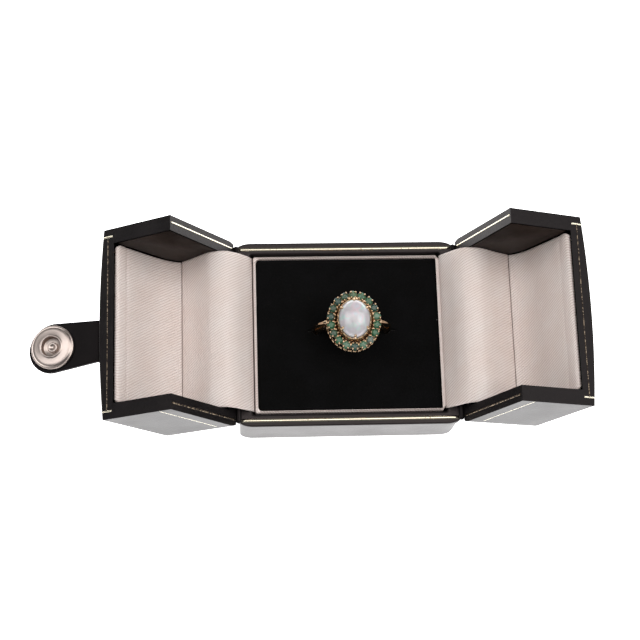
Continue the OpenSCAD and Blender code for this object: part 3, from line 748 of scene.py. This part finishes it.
# %% The opal
bow = np.radians(np.linspace(0, 89, 26))
dome = (opal_high[2] - finger_centre[2]) / MM - opal_girdle
cabochon = [(0.3, -girdle_rise), (0.88, -girdle_rise), (0.93, -0.48), (0.985, -0.2), (1.0, -0.05)]
cabochon += list(zip(np.cos(bow), dome * np.sin(bow)))
angle = circle(96)
points, faces = lofted([on_ellipse(opal_half * share, angle, opal_girdle + level) for share, level in cabochon])
opal_cabochon = make_piece("opal_cabochon", finger_centre + MM * points, faces, "base", "opal", opal_material,
                           weld=0.0005 * MM)
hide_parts("opal")

# %% [markdown]
# Both lids are the same piece, mirrored. Each is drawn in its own frame, across from the hinge line and up from
# it as if it were shut over its half of the base, then turned open as far as its joint says.

# %% The lids' own frame
SIDES = {"left": -1, "right": 1}


def opened(side, points):
    """Points (across, along the hinge, up) of a shut lid, in metres, turned open about its hinge line. Across
    goes to the box's middle, so with the opening angle o it is (-side cos o, 0, sin o), and up is (side sin o,
    0, cos o)."""
    joint = JOINTS["left_lid" if side < 0 else "right_lid"]
    angle = math.radians(max(joint["range_deg"]))
    axes = np.array([[-side * math.cos(angle), 0, math.sin(angle)], [0, 1, 0],
                     [side * math.sin(angle), 0, math.cos(angle)]])
    return np.array(joint["pos_m"]) + np.asarray(points, float) @ axes


lid_wide = hinge_x - 0.15 * MM
lid_foot, lid_high = 0.3 * MM, 21.75 * MM
lid_wall = 4 * MM
panel_inside = lid_high - 3 * MM
crown = 1.3 * MM
inner_half = half_depth - lid_wall
crown_radius = (half_depth ** 2 + crown ** 2) / (2 * crown)
print("a lid is", round(lid_wide / MM, 2), "mm wide and", round((lid_high + crown) / MM, 2), "mm high")

# %% [markdown]
# A lid is a shallow tray on its side: a padded top that is slightly crowned, a side wall and two end walls. The
# outside is a block whose top edges are rounded, widely beside the hinge and narrowly at the ends. The hollow
# is cut out of it with a Boolean, which gives one closed wall, and a Bevel softens every edge as turned-in
# leatherette is.


# %% A lid's outside
def crowned(along):
    """Height of a lid's top at a place along the hinge: a circle's arc, highest in the middle."""
    return lid_high + crown - (crown_radius - np.sqrt(crown_radius ** 2 - along ** 2))


def lid_block():
    """Rows of points along the hinge, each row going across from the hinge side to the free edge. The outline
    is the edge of that grid. Each point of it climbs a quarter round of radius R: inwards by R (1 - cos a) and
    down from the crown by R (1 - sin a)."""
    bend = np.radians(np.linspace(90, 0, 8))
    ends = half_depth - corner_y * (1 - np.sin(bend))
    rows_y = np.concatenate([-ends[:-1], np.linspace(-ends[-1], ends[-1], 23), ends[:-1][::-1]])
    reach = np.maximum(np.abs(rows_y) - (half_depth - corner_y), 0) / corner_y
    rows_start = lid_corner * (1 - np.sqrt(np.maximum(1 - reach ** 2, 0)))
    share = np.linspace(0, 1, 13)
    cols_u = rows_start[:, None] + share[None] * (lid_wide - rows_start)[:, None]
    count_y, count_u = cols_u.shape
    plan = np.stack([cols_u, np.broadcast_to(rows_y[:, None], cols_u.shape)], 2)
    row_of = np.concatenate([np.zeros(count_u, int), np.arange(1, count_y), np.full(count_u - 1, count_y - 1),
                             np.arange(count_y - 2, 0, -1)])
    col_of = np.concatenate([np.arange(count_u), np.full(count_y - 1, count_u - 1),
                             np.arange(count_u - 2, -1, -1), np.zeros(count_y - 2, int)])
    edge = plan[row_of, col_of]
    slope_u, slope_y = (lid_corner - edge[:, 0]) / lid_corner ** 2, reach[row_of] / corner_y
    steep = np.hypot(slope_u, slope_y)
    normal_u = np.where(col_of == 0, -slope_u / steep, 0.0)
    normal_y = np.where(col_of == 0, np.sign(edge[:, 1]) * slope_y / steep, 0.0)
    at_end = (row_of == 0) | (row_of == count_y - 1)
    normal_y = np.where(at_end, np.sign(edge[:, 1]), normal_y)
    normal_u = np.where(col_of == count_u - 1, 1.0, normal_u)
    radius = (0.6 + 2.6 * np.maximum(-normal_u, 0) ** 2) * MM
    normal = np.stack([normal_u, normal_y], 1)
    rings = []
    for level in (lid_foot, 4 * MM, 9 * MM, 14 * MM, 17 * MM):
        rings.append(np.column_stack([edge, np.full(len(edge), level)]))
    for angle in np.radians(np.linspace(0, 90, 9)):
        moved = edge - (1 - math.cos(angle)) * radius[:, None] * normal
        rings.append(np.column_stack([moved, crowned(moved[:, 1]) - (1 - math.sin(angle)) * radius]))
    points, faces = lofted(rings, caps=False)
    top = np.empty((count_y, count_u, 3))
    top_ring = rings[-1]
    first, last = top_ring[col_of == 0][:, :2], top_ring[col_of == count_u - 1][:, :2]
    first, last = first[np.argsort(first[:, 1])], last[np.argsort(last[:, 1])]
    top[..., :2] = first[:, None] + share[None, :, None] * (last - first)[:, None]
    top[0, :, :2], top[-1, :, :2] = top_ring[:count_u, :2], top_ring[row_of == count_y - 1][::-1][:, :2]
    top[..., 2] = crowned(top[..., 1])
    bottom = np.concatenate([plan, np.full(plan.shape[:2] + (1,), lid_foot)], 2)
    grid = grid_faces(count_y, count_u)
    return joined([(points, faces), (top, grid), (bottom, np.array(grid)[:, ::-1].tolist())])


def prism(outline, half_length):
    """Prism along the hinge over an outline of (across, up) points."""
    across, up = np.asarray(outline, float).T
    return lofted([np.column_stack([across, np.full(len(across), y), up]) for y in (-half_length, half_length)])


lip = 0.85 * MM
band = 3.6 * MM
hollow = [(lid_wall, -MM), (40 * MM, -MM), (40 * MM, lid_high - band), (lid_wide - lip, lid_high - band),
          (lid_wide - lip, panel_inside), (lid_wall, panel_inside)]
bead_room = 0.8 * MM * np.stack([np.cos(circle(20)), np.sin(circle(20))], 1)


def cut(piece, side, points, faces):
    """Takes a closed form out of a piece with the exact Boolean, and keeps the result as the piece's mesh."""
    tool = make_piece("cutter", opened(side, points), faces, None, "leatherette", None)
    modifier = piece.modifiers.new("cut", "BOOLEAN")
    modifier.operation, modifier.solver, modifier.object = "DIFFERENCE", "EXACT", tool
    result = bpy.data.meshes.new_from_object(piece.evaluated_get(bpy.context.evaluated_depsgraph_get()))
    piece.modifiers.clear()
    piece.data = result
    bpy.data.objects.remove(tool)


def soften_edges(piece):
    """Rounds the sharp edges as glued leatherette is rounded, and keeps the flat faces looking flat."""
    modifier = piece.modifiers.new("soft edges", "BEVEL")
    modifier.width, modifier.segments = 0.32 * MM, 3
    modifier.limit_method, modifier.angle_limit = "ANGLE", math.radians(48)
    modifier.use_clamp_overlap = True
    even_shading(piece)


# %% Both lids' leather
points, faces = lid_block()
for name, side in SIDES.items():
    lid = make_piece(f"{name}_lid_leather", opened(side, points), faces, None, "leatherette", dull_leatherette)
    cut(lid, side, *prism(hollow, inner_half))
    cut(lid, side, *prism(bead_room, half_depth + MM))
    lid.data.shade_smooth()
    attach(lid, f"{name}_lid")
    soften_edges(lid)
    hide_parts(f"{name}_lid_shell")
    print(lid.name, "faces after the cuts", len(lid.data.polygons))

# %% [markdown]
# Inside each lid, satin is stretched over a curved pad on the side wall and hangs over the hinge into the
# base's frame. It is one cloth, so it is one sheet here: a smooth line through the places where it is held,
# carried along the hinge, with slight puckers.


# %% Lines for cloth
def lengths_of(line):
    """Distance of each point of a line from its start, measured along it."""
    return np.concatenate([[0], np.cumsum(np.linalg.norm(np.diff(line, axis=0), axis=1))])


def smooth_line(knots, count):
    """Evenly spaced points on a Catmull-Rom curve through the knots: each span is a cubic whose slope at a knot
    is half the step between its neighbours. Knots are in millimetres, the line and its length in metres."""
    knots = np.array(knots) * MM
    padded = np.concatenate([2 * knots[:1] - knots[1:2], knots, 2 * knots[-1:] - knots[-2:-1]])
    t = np.linspace(0, 1, 24, endpoint=False)[:, None, None]
    a, b, c, d = padded[:-3], padded[1:-2], padded[2:-1], padded[3:]
    curve = b + t * (c - a) / 2 + t ** 2 * (2 * a - 5 * b + 4 * c - d) / 2 + t ** 3 * (3 * b - 3 * c + d - a) / 2
    points = np.concatenate([curve.transpose(1, 0, 2).reshape(-1, 2), knots[-1:]])
    lengths = lengths_of(points)
    even = np.linspace(0, lengths[-1], count)
    return np.stack([np.interp(even, lengths, column) for column in points.T], 1), lengths[-1]


def left_of(line):
    """Unit normals of a line in the plane, turned a quarter anticlockwise from its direction."""
    direction = np.gradient(line, axis=0)
    direction /= np.linalg.norm(direction, axis=1, keepdims=True)
    return np.stack([-direction[:, 1], direction[:, 0]], 1)


def cloth_map(side, along, distance):
    """Map of a cloth: the distance along the hinge and down the cloth, in millimetres. It runs the same way in
    both lids, as cloth cut from one length does."""
    return np.stack(np.broadcast_arrays(-side * along, distance[:, None]), -1).reshape(-1, 2) / MM


def puckers(count, along):
    """Shallow waves across the stretched cloth, fading towards its held edges: a sum of three slow sines."""
    down = np.linspace(0, 1, count)[:, None]
    wave = np.sin(along / MM * 0.55 + 3 * down) + 0.6 * np.sin(along / MM * 1.27 - 5 * down + 1.3) \
        + 0.4 * np.sin(along / MM * 2.3 + 2 * down)
    return 0.045 * MM * np.sin(np.pi * down) ** 0.5 * wave


def cloth(name, side, line, thick, half_length, columns=105):
    """Cloth along a line in a lid's (across, up) plane: its face on the line and its back the thickness behind
    it, joined along the hems and closed at both ends by a strip of squares."""
    behind, count = left_of(line)[:, None], len(line)
    along = np.linspace(-half_length, half_length, columns)
    face = line[:, None] + puckers(count, along)[..., None] * behind
    across, up = np.moveaxis(np.concatenate([face, (face + thick * behind)[::-1]]), 2, 0)
    flat = np.stack(np.broadcast_arrays(across, along, up), -1)
    distance = lengths_of(line)
    uv = cloth_map(side, along, np.concatenate([distance, distance[::-1]]))
    index = np.arange(2 * count * columns).reshape(2 * count, columns)
    front, back = index[:count], index[:count - 1:-1]
    faces = grid_faces(2 * count, columns, wrap_rows=True)
    faces += np.stack([front[:-1, 0], front[1:, 0], back[1:, 0], back[:-1, 0]], 1).tolist()
    faces += np.stack([front[:-1, -1], back[:-1, -1], back[1:, -1], front[1:, -1]], 1).tolist()
    return make_piece(name, opened(side, flat.reshape(-1, 3)), faces, None, "satin", ivory_satin, uv=uv)


# %% The satin from the base's frame to each lid's top
cloth_half = inner_half - 0.12 * MM
# Places the cloth passes, as (across, up) in millimetres, from its foot in the base to the lid's top
upper_line = [(8.45, 2.2), (8.1, 5), (7, 8.5), (5.75, 13.6)]
CLOTH_LINES = {
    "left": [(-2.9, -3.02), (-1.0, -3.25), (1.2, -3.0), (4.3, -2.5), (7.1, -1.1)] + upper_line,
    "right": [(-1.5, -3.66), (-0.5, -3.55), (1.6, -3.0), (4.6, -2.3), (7.2, -0.9)] + upper_line,
}
for name, side in SIDES.items():
    line, length = smooth_line(CLOTH_LINES[name], 64)
    sheet = cloth(f"{name}_side_satin", side, line, 0.7 * MM, cloth_half)
    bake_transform(sheet)
    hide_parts(f"{name}_side_lining", f"{name}_hinge_satin")

# %% [markdown]
# The top's lining is satin over a thin padded board. Its face curves up out of the crease, runs flat, and ends
# in a rolled edge with a shallow groove before it.


# %% The tops' linings
def lining_pad(name, side):
    """Closed pad: the face's line and a flat back, carried along the hinge. At both ends the face sinks over a
    quarter ellipse, so that the ends are soft, and another one rounds the two outer corners."""
    face, _ = smooth_line([(5.62, 13.75), (6.3, 14.35), (7.5, 15.06), (10, 15.92), (13, 16.45), (16.2, 16.82),
                           (20, 17.15), (23.4, 17.4), (24.2, 17.58), (25.0, 17.44), (26.4, 17.42), (27.4, 17.62),
                           (27.85, 18.1)], 90)
    top = panel_inside - 0.1 * MM
    end_round, end_sink, end_gap = 0.7 * MM, 0.35 * MM, 0.9 * MM
    corner_round, corner_in = 1.8 * MM, 1.1 * MM
    back = np.stack([np.linspace(face[-1, 0], face[0, 0] - 0.15 * MM, 30), np.full(30, top)], 1)
    ends = cloth_half - end_round * (1 - np.cos(np.radians(np.linspace(90, 0, 6))))
    middle = np.linspace(end_gap - cloth_half, cloth_half - end_gap, 80)
    along = np.concatenate([-ends[::-1], middle, ends])
    sink = np.maximum(np.abs(along) - (cloth_half - end_round), 0) / end_round
    fall = end_sink * (1 - np.sqrt(np.maximum(1 - sink ** 2, 0)))
    wave = 0.03 * MM * np.sin(along / MM * 0.8) * np.sin(face[:, :1] / MM * 0.5)
    across = np.concatenate([face[:, :1], back[:, :1]])
    up = np.concatenate([np.minimum(face[:, 1:] + fall + wave, top - 0.02 * MM), back[:, 1:] + 0 * along])
    near_edge = np.clip((across - face[-1, 0]) / corner_round + 1, 0, 1)
    narrowed = along * (1 - corner_in * (1 - np.sqrt(1 - near_edge ** 2)) / cloth_half)
    rows = np.stack(np.broadcast_arrays(across, narrowed, up), -1)
    distance = lengths_of(face)
    uv = cloth_map(side, along, np.concatenate([distance, distance[-1] + back[0, 0] - back[:, 0]]))
    index = np.arange(up.size).reshape(up.shape)
    faces = grid_faces(*up.shape, wrap_rows=True) + [index[:, 0].tolist(), index[::-1, -1].tolist()]
    return make_piece(f"{name}_top_satin", opened(side, rows.reshape(-1, 3)), faces, f"{name}_lid", "satin",
                      ivory_satin, uv=uv)


for name, side in SIDES.items():
    pad = lining_pad(name, side)
    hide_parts(f"{name}_top_lining")

# %% [markdown]
# Inside the end walls the lids are lined with dark paper. It is a thin sheet glued to each wall.


# %% The end walls' lining paper
paper_thick = 0.05 * MM
paper_outline = MM * np.array([(4.4, 0.75), (28.3, 0.75), (28.3, 17.2), (26, 17.2), (10, 15.6), (7, 14.2),
                               (5.2, 13.2)])
sheets = [lofted([np.insert(paper_outline, 1, end * (inner_half - depth), axis=1) for depth in (0, paper_thick)])
          for end in (-1, 1)]
points, faces = joined(sheets)
for name, side in SIDES.items():
    make_piece(f"{name}_lid_paper", opened(side, points), faces, f"{name}_lid", "leatherette", lining_paper)

# %% [markdown]
# A gold line is pressed into the leatherette with a heated wheel. It is a thin bright strip: along the rims
# that meet when the box is shut, across the lids' end walls, over the tops and round their free edges. The
# lines on the lids' front rims and along the free edges are in a darker foil, which on the front rims is painted
# shade.


# %% The gold lines
def foil_strip(start, end, across, out, width=0.42 * MM, count=40):
    """Flat strip between two places. Its width lies to both sides, its face stands proud by a hair."""
    path = np.linspace(start, end, count)
    across, out = np.array(across) * width / 2, np.array(out)
    deep, proud = -0.05 * MM, 0.012 * MM
    return lofted(np.stack([path - across + deep * out, path - across + proud * out,
                            path + across + proud * out, path + across + deep * out], 1))


def across_lid(hinge_gap, edge_gap, y, height, across, out, width=0.42 * MM):
    """Strip across a shut lid, from a gap at the hinge to one at the free edge, at a place y and a height."""
    return foil_strip((hinge_gap, y, height), (lid_wide - edge_gap, y, height), across, out, width)


X, Y, Z = np.eye(3)
reach = hinge_x - 0.5 * MM
base_lines = [foil_strip((-reach, y, rim_top), (reach, y, rim_top), Y, Z, 0.92 * MM)
              for y in (-half_depth + 1.62 * MM, half_depth - 1.8 * MM)]
make_piece("base_gold_lines", *joined(base_lines), "base", "gold", gold_foil)
rim_y, top_y, free_y = half_depth - 1.8 * MM, half_depth - 4.3 * MM, half_depth - 2.1 * MM
top_height, edge_height, free_foot = crowned(top_y), 20.1 * MM, lid_high - band + 0.4 * MM
bright = []
# The front rim lines and the free edge line take the darker foil, which on the front rims is painted shade
darkened = [foil_strip((lid_wide, -free_y, edge_height), (lid_wide, free_y, edge_height), Z, X, 0.24 * MM, 60)]
for end in (-1, 1):
    rim_line = across_lid(1.1 * MM, 0.5 * MM, end * rim_y, lid_foot, Y, -Z)
    (darkened if end < 0 else bright).append(rim_line)
    bright.append(across_lid(4.2 * MM, 0.4 * MM, end * half_depth, 4 * MM, Z, end * Y, 0.16 * MM))
    bright.append(across_lid(4.6 * MM, 0.55 * MM, end * top_y, top_height, Y, Z))
    free_high, free_low = (lid_wide, end * free_y, top_height - 0.6 * MM), (lid_wide, end * free_y, free_foot)
    bright.append(foil_strip(free_high, free_low, Y, X))
for name, side in SIDES.items():
    for kind, parts, foil in (("gold_lines", bright, gold_foil), ("dark_line", darkened, darkened_foil)):
        points, faces = joined(parts)
        make_piece(f"{name}_{kind}", opened(side, points), faces, f"{name}_lid", "gold", foil)

# %% [markdown]
# A strap with a press stud keeps the lids shut. It is black leather, glued flat on the left lid, bent up near
# the free edge and standing with its round tip towards the other lid. Its thickness is a rounded profile
# carried along the bend; its width grows towards the tip and closes in a half circle.

# %% The strap's line
bend_u, bend_radius, strap_thick = 25.5 * MM, 1.0 * MM, 1.4 * MM
strap_foot = lid_high + crown + 0.05 * MM
strap_y, strap_lean, strap_skew = -3.7 * MM, math.radians(20), math.radians(5)
snap_reach, foot_half, tip_radius = 11.4 * MM, 5.45 * MM, 6.45 * MM
bend_centre = np.array([bend_u, strap_foot + strap_thick + bend_radius])
turn = np.linspace(-math.pi / 2, -strap_lean, 14)
middle_radius = bend_radius + strap_thick / 2
flat_u = np.linspace(bend_u - 9 * MM, bend_u, 16, endpoint=False)
flat_part = np.stack([flat_u, np.full(16, strap_foot + strap_thick / 2)], 1)
bent_part = bend_centre + middle_radius * np.stack([np.cos(turn), np.sin(turn)], 1)
stand = np.array([math.sin(strap_lean), math.cos(strap_lean)])
tip_bow = np.linspace(0, math.pi / 2, 22)[1:]
straight_rise = np.linspace(0.5 * MM, snap_reach, 20)
rise = np.concatenate([straight_rise, snap_reach + tip_radius * np.sin(tip_bow)])
strap_line = np.concatenate([flat_part, bent_part, bent_part[-1] + rise[:, None] * stand])
before_rise = len(flat_part) + len(bent_part)
widths = np.concatenate([np.full(before_rise, foot_half),
                         np.interp(straight_rise, [0, snap_reach], [foot_half, tip_radius]),
                         tip_radius * np.cos(tip_bow)])[:, None]
drift = np.concatenate([np.zeros(before_rise), -rise * math.tan(strap_skew)])[:, None]
print("strap", round(lengths_of(strap_line)[-1] / MM, 1), "mm long")

# %% [markdown]
# The section is a bar with round corners. Across, the flat middle is the half width less the edge, and the edge
# follows the cosine to the power 0.7; the thickness follows the sine to the power 0.35. The tip gets thinner.

# %% The strap
cosine, sine = np.cos(circle(40)), np.sin(circle(40))
half_width = np.maximum(widths, 0.05 * MM)
edge = np.minimum(half_width, 0.55 * MM)
share = np.abs(cosine)
across = np.sign(cosine) * ((half_width - edge) * np.minimum(share * 1.25, 1) + edge * share ** 0.7)
thick = strap_thick / 2 * np.sign(sine) * np.abs(sine) ** 0.35 * np.clip(widths / (0.9 * MM), 0.3, 1)
normals = left_of(strap_line)
rings = np.stack([strap_line[:, :1] + thick * normals[:, :1], strap_y + drift + across,
                  strap_line[:, 1:] + thick * normals[:, 1:]], 2)
points, faces = lofted(rings)
strap = make_piece("strap_leather", opened(-1, points), faces, "left_lid", "strap_leather", strap_hide)
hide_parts("strap")

# %% [markdown]
# The press stud is stamped from nickel-plated brass. Each half is turned on a lathe here: a profile of radius
# and height carried round an axis square to the strap, or to the right lid's top.

# %% The press stud
snap_out = np.array([math.cos(strap_lean), 0, -math.sin(strap_lean)])
face_radius = middle_radius + strap_thick / 2
strap_face = bend_centre + face_radius * snap_out[::2] + snap_reach * math.cos(strap_skew) * stand
snap_at = np.array([strap_face[0], strap_y - snap_reach * math.sin(strap_skew), strap_face[1]])
strap_axes = np.stack([Y, np.cross(snap_out, Y), snap_out])
stud_at = np.array([lid_wide - 10 * MM, strap_y, lid_high + crown + 0.02 * MM])
# Each profile is a list of (radius, height) pairs in millimetres, from one end of the axis to the other
socket_profile = [(0.02, 0.3), (2.4, 0.3), (2.5, 0.4), (2.52, 1.5), (2.58, 1.82), (2.7, 1.95), (2.86, 1.95),
                  (3.0, 1.8), (3.2, 1.72), (4.3, 1.64), (4.95, 1.48), (5.1, 1.4), (5.32, 1.05), (5.42, 0.98),
                  (5.56, 0.98), (5.66, 0.9), (5.68, 0.75), (5.68, 0.14), (5.6, 0.1), (0.02, 0.1)]
spring_profile = [(1.35, 0.25), (1.35, 0.6), (1.25, 0.82), (1.0, 0.9), (0.75, 0.82), (0.6, 0.6), (0.02, 0.55)]
cap_profile = [(1.3, 0.05), (1.3, -1.5), (5.45, -1.5), (5.6, -1.6), (5.55, -1.95), (5.2, -2.2), (4.2, -2.6),
               (3.8, -2.72), (2.0, -2.8), (0.02, -2.8)]
stud_profile = [(0.02, 0.0), (4.4, 0.0), (4.5, 0.1), (4.5, 0.36), (4.36, 0.5), (2.4, 0.5), (2.15, 0.62),
                (2.1, 1.25), (2.2, 1.38), (2.15, 1.7), (1.85, 2.0), (1.4, 2.08), (0.02, 2.1)]
socket_forms = [(socket_profile, 72), (spring_profile, 40)]
STUD_PARTS = {
    "press_stud_socket": ("snap_socket", "left", snap_at, strap_axes, socket_forms),
    "press_stud_cap": ("snap_cap", "left", snap_at, strap_axes, [(cap_profile, 72)]),
    "press_stud": ("snap_stud", "right", stud_at, np.eye(3), [(stud_profile, 56)]),
}
for name, (node, lid, at, axes, profiles) in STUD_PARTS.items():
    points, faces = joined([turned(profile, sides) for profile, sides in profiles])
    points = opened(SIDES[lid], at + MM * points @ axes)
    stud_part = make_piece(name, points, faces, f"{lid}_lid", "nickel", nickel_plate, weld=0.0)
    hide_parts(node)

# %% [markdown]
# The camera looks almost straight down, as the photograph does. Its direction, roll and distance were solved
# from the box's corners. A lens of 86 mm on a 36 mm frame gives the same foreshortening.

# %% Camera
FOCAL_PIXELS, PHOTO_WIDTH, SENSOR = 1531.9, 640, 36
CAMERA_DISTANCE = 406.27 * MM
target = np.array([-7.047, 4.100, 15.536]) * MM
back = np.array([-0.060, -0.262, math.sqrt(1 - 0.060 ** 2 - 0.262 ** 2)])
up = Y - back * back[1]
up /= np.linalg.norm(up)
right = np.cross(up, back)
roll = math.radians(-1.720)
right, up = math.cos(roll) * right + math.sin(roll) * up, -math.sin(roll) * right + math.cos(roll) * up
lens = bpy.data.cameras.new("camera")
lens.lens, lens.sensor_width = FOCAL_PIXELS / PHOTO_WIDTH * SENSOR, SENSOR
lens.clip_start, lens.clip_end = 0.01, 10
camera = bpy.data.objects.new("camera", lens)
turned_to = Matrix(np.stack([right, up, back], 1)).to_4x4()
camera.matrix_world = Matrix.Translation(target + CAMERA_DISTANCE * back) @ turned_to
bpy.context.scene.collection.objects.link(camera)
bpy.context.scene.camera = camera
print("camera", round(CAMERA_DISTANCE / MM), "mm away, lens", round(lens.lens, 1), "mm")

# %% [markdown]
# The light is a white table in a light tent: a floor brighter than paper, a soft overhead panel a little to the
# right, a big panel at the right, a small one at the left, and a dim white surround. The Standard view
# transform keeps the paper white and the velvet black.


# %% Floor and light
def panel(name, centre, size, watts, tint="#ffffff"):
    """Soft box of the given width and depth at a place, turned to look at the middle of the box."""
    light = bpy.data.lights.new(name, "AREA")
    light.shape = "RECTANGLE"
    light.size, light.size_y = size
    light.energy, light.color = watts, linear(tint)[:3]
    lamp = bpy.data.objects.new(name, light)
    lamp.location = centre
    lamp.rotation_euler = (Vector((0, 0, 20 * MM)) - Vector(centre)).to_track_quat("-Z", "Y").to_euler()
    bpy.context.scene.collection.objects.link(lamp)


paper_white, tree, shader = start_material("white paper table", Roughness=0.9, Emission_Strength=1.95)
shader.inputs["Base Color"].default_value = linear("#f4f4f4")
shader.inputs["Emission Color"].default_value = linear("#ffffff")
floor_mesh = bpy.data.meshes.new("table")
floor_half, floor_z = 3, -0.1 * MM
floor_corners = [(x * floor_half, y * floor_half, floor_z) for x, y in ((-1, -1), (1, -1), (1, 1), (-1, 1))]
floor_mesh.from_pydata(floor_corners, [], [[0, 1, 2, 3]])
floor = bpy.data.objects.new("table", floor_mesh)
floor_mesh.materials.append(paper_white)
bpy.context.scene.collection.objects.link(floor)

panel("overhead panel", (0.11, 0.06, 0.62), (0.6, 0.44), 1.4, "#fffaf6")
panel("left panel", (-0.24, 0.05, 0.34), (0.3, 0.3), 0.6)
panel("right panel", (0.42, 0.06, 0.48), (0.5, 0.5), 1.6)
world = bpy.data.worlds.new("light tent")
world.use_nodes = True
world.node_tree.nodes["Background"].inputs["Color"].default_value = linear("#ffffff")
world.node_tree.nodes["Background"].inputs["Strength"].default_value = 0.13
scene = bpy.context.scene
scene.world = world
scene.view_settings.view_transform = "Standard"
scene.view_settings.look = "None"
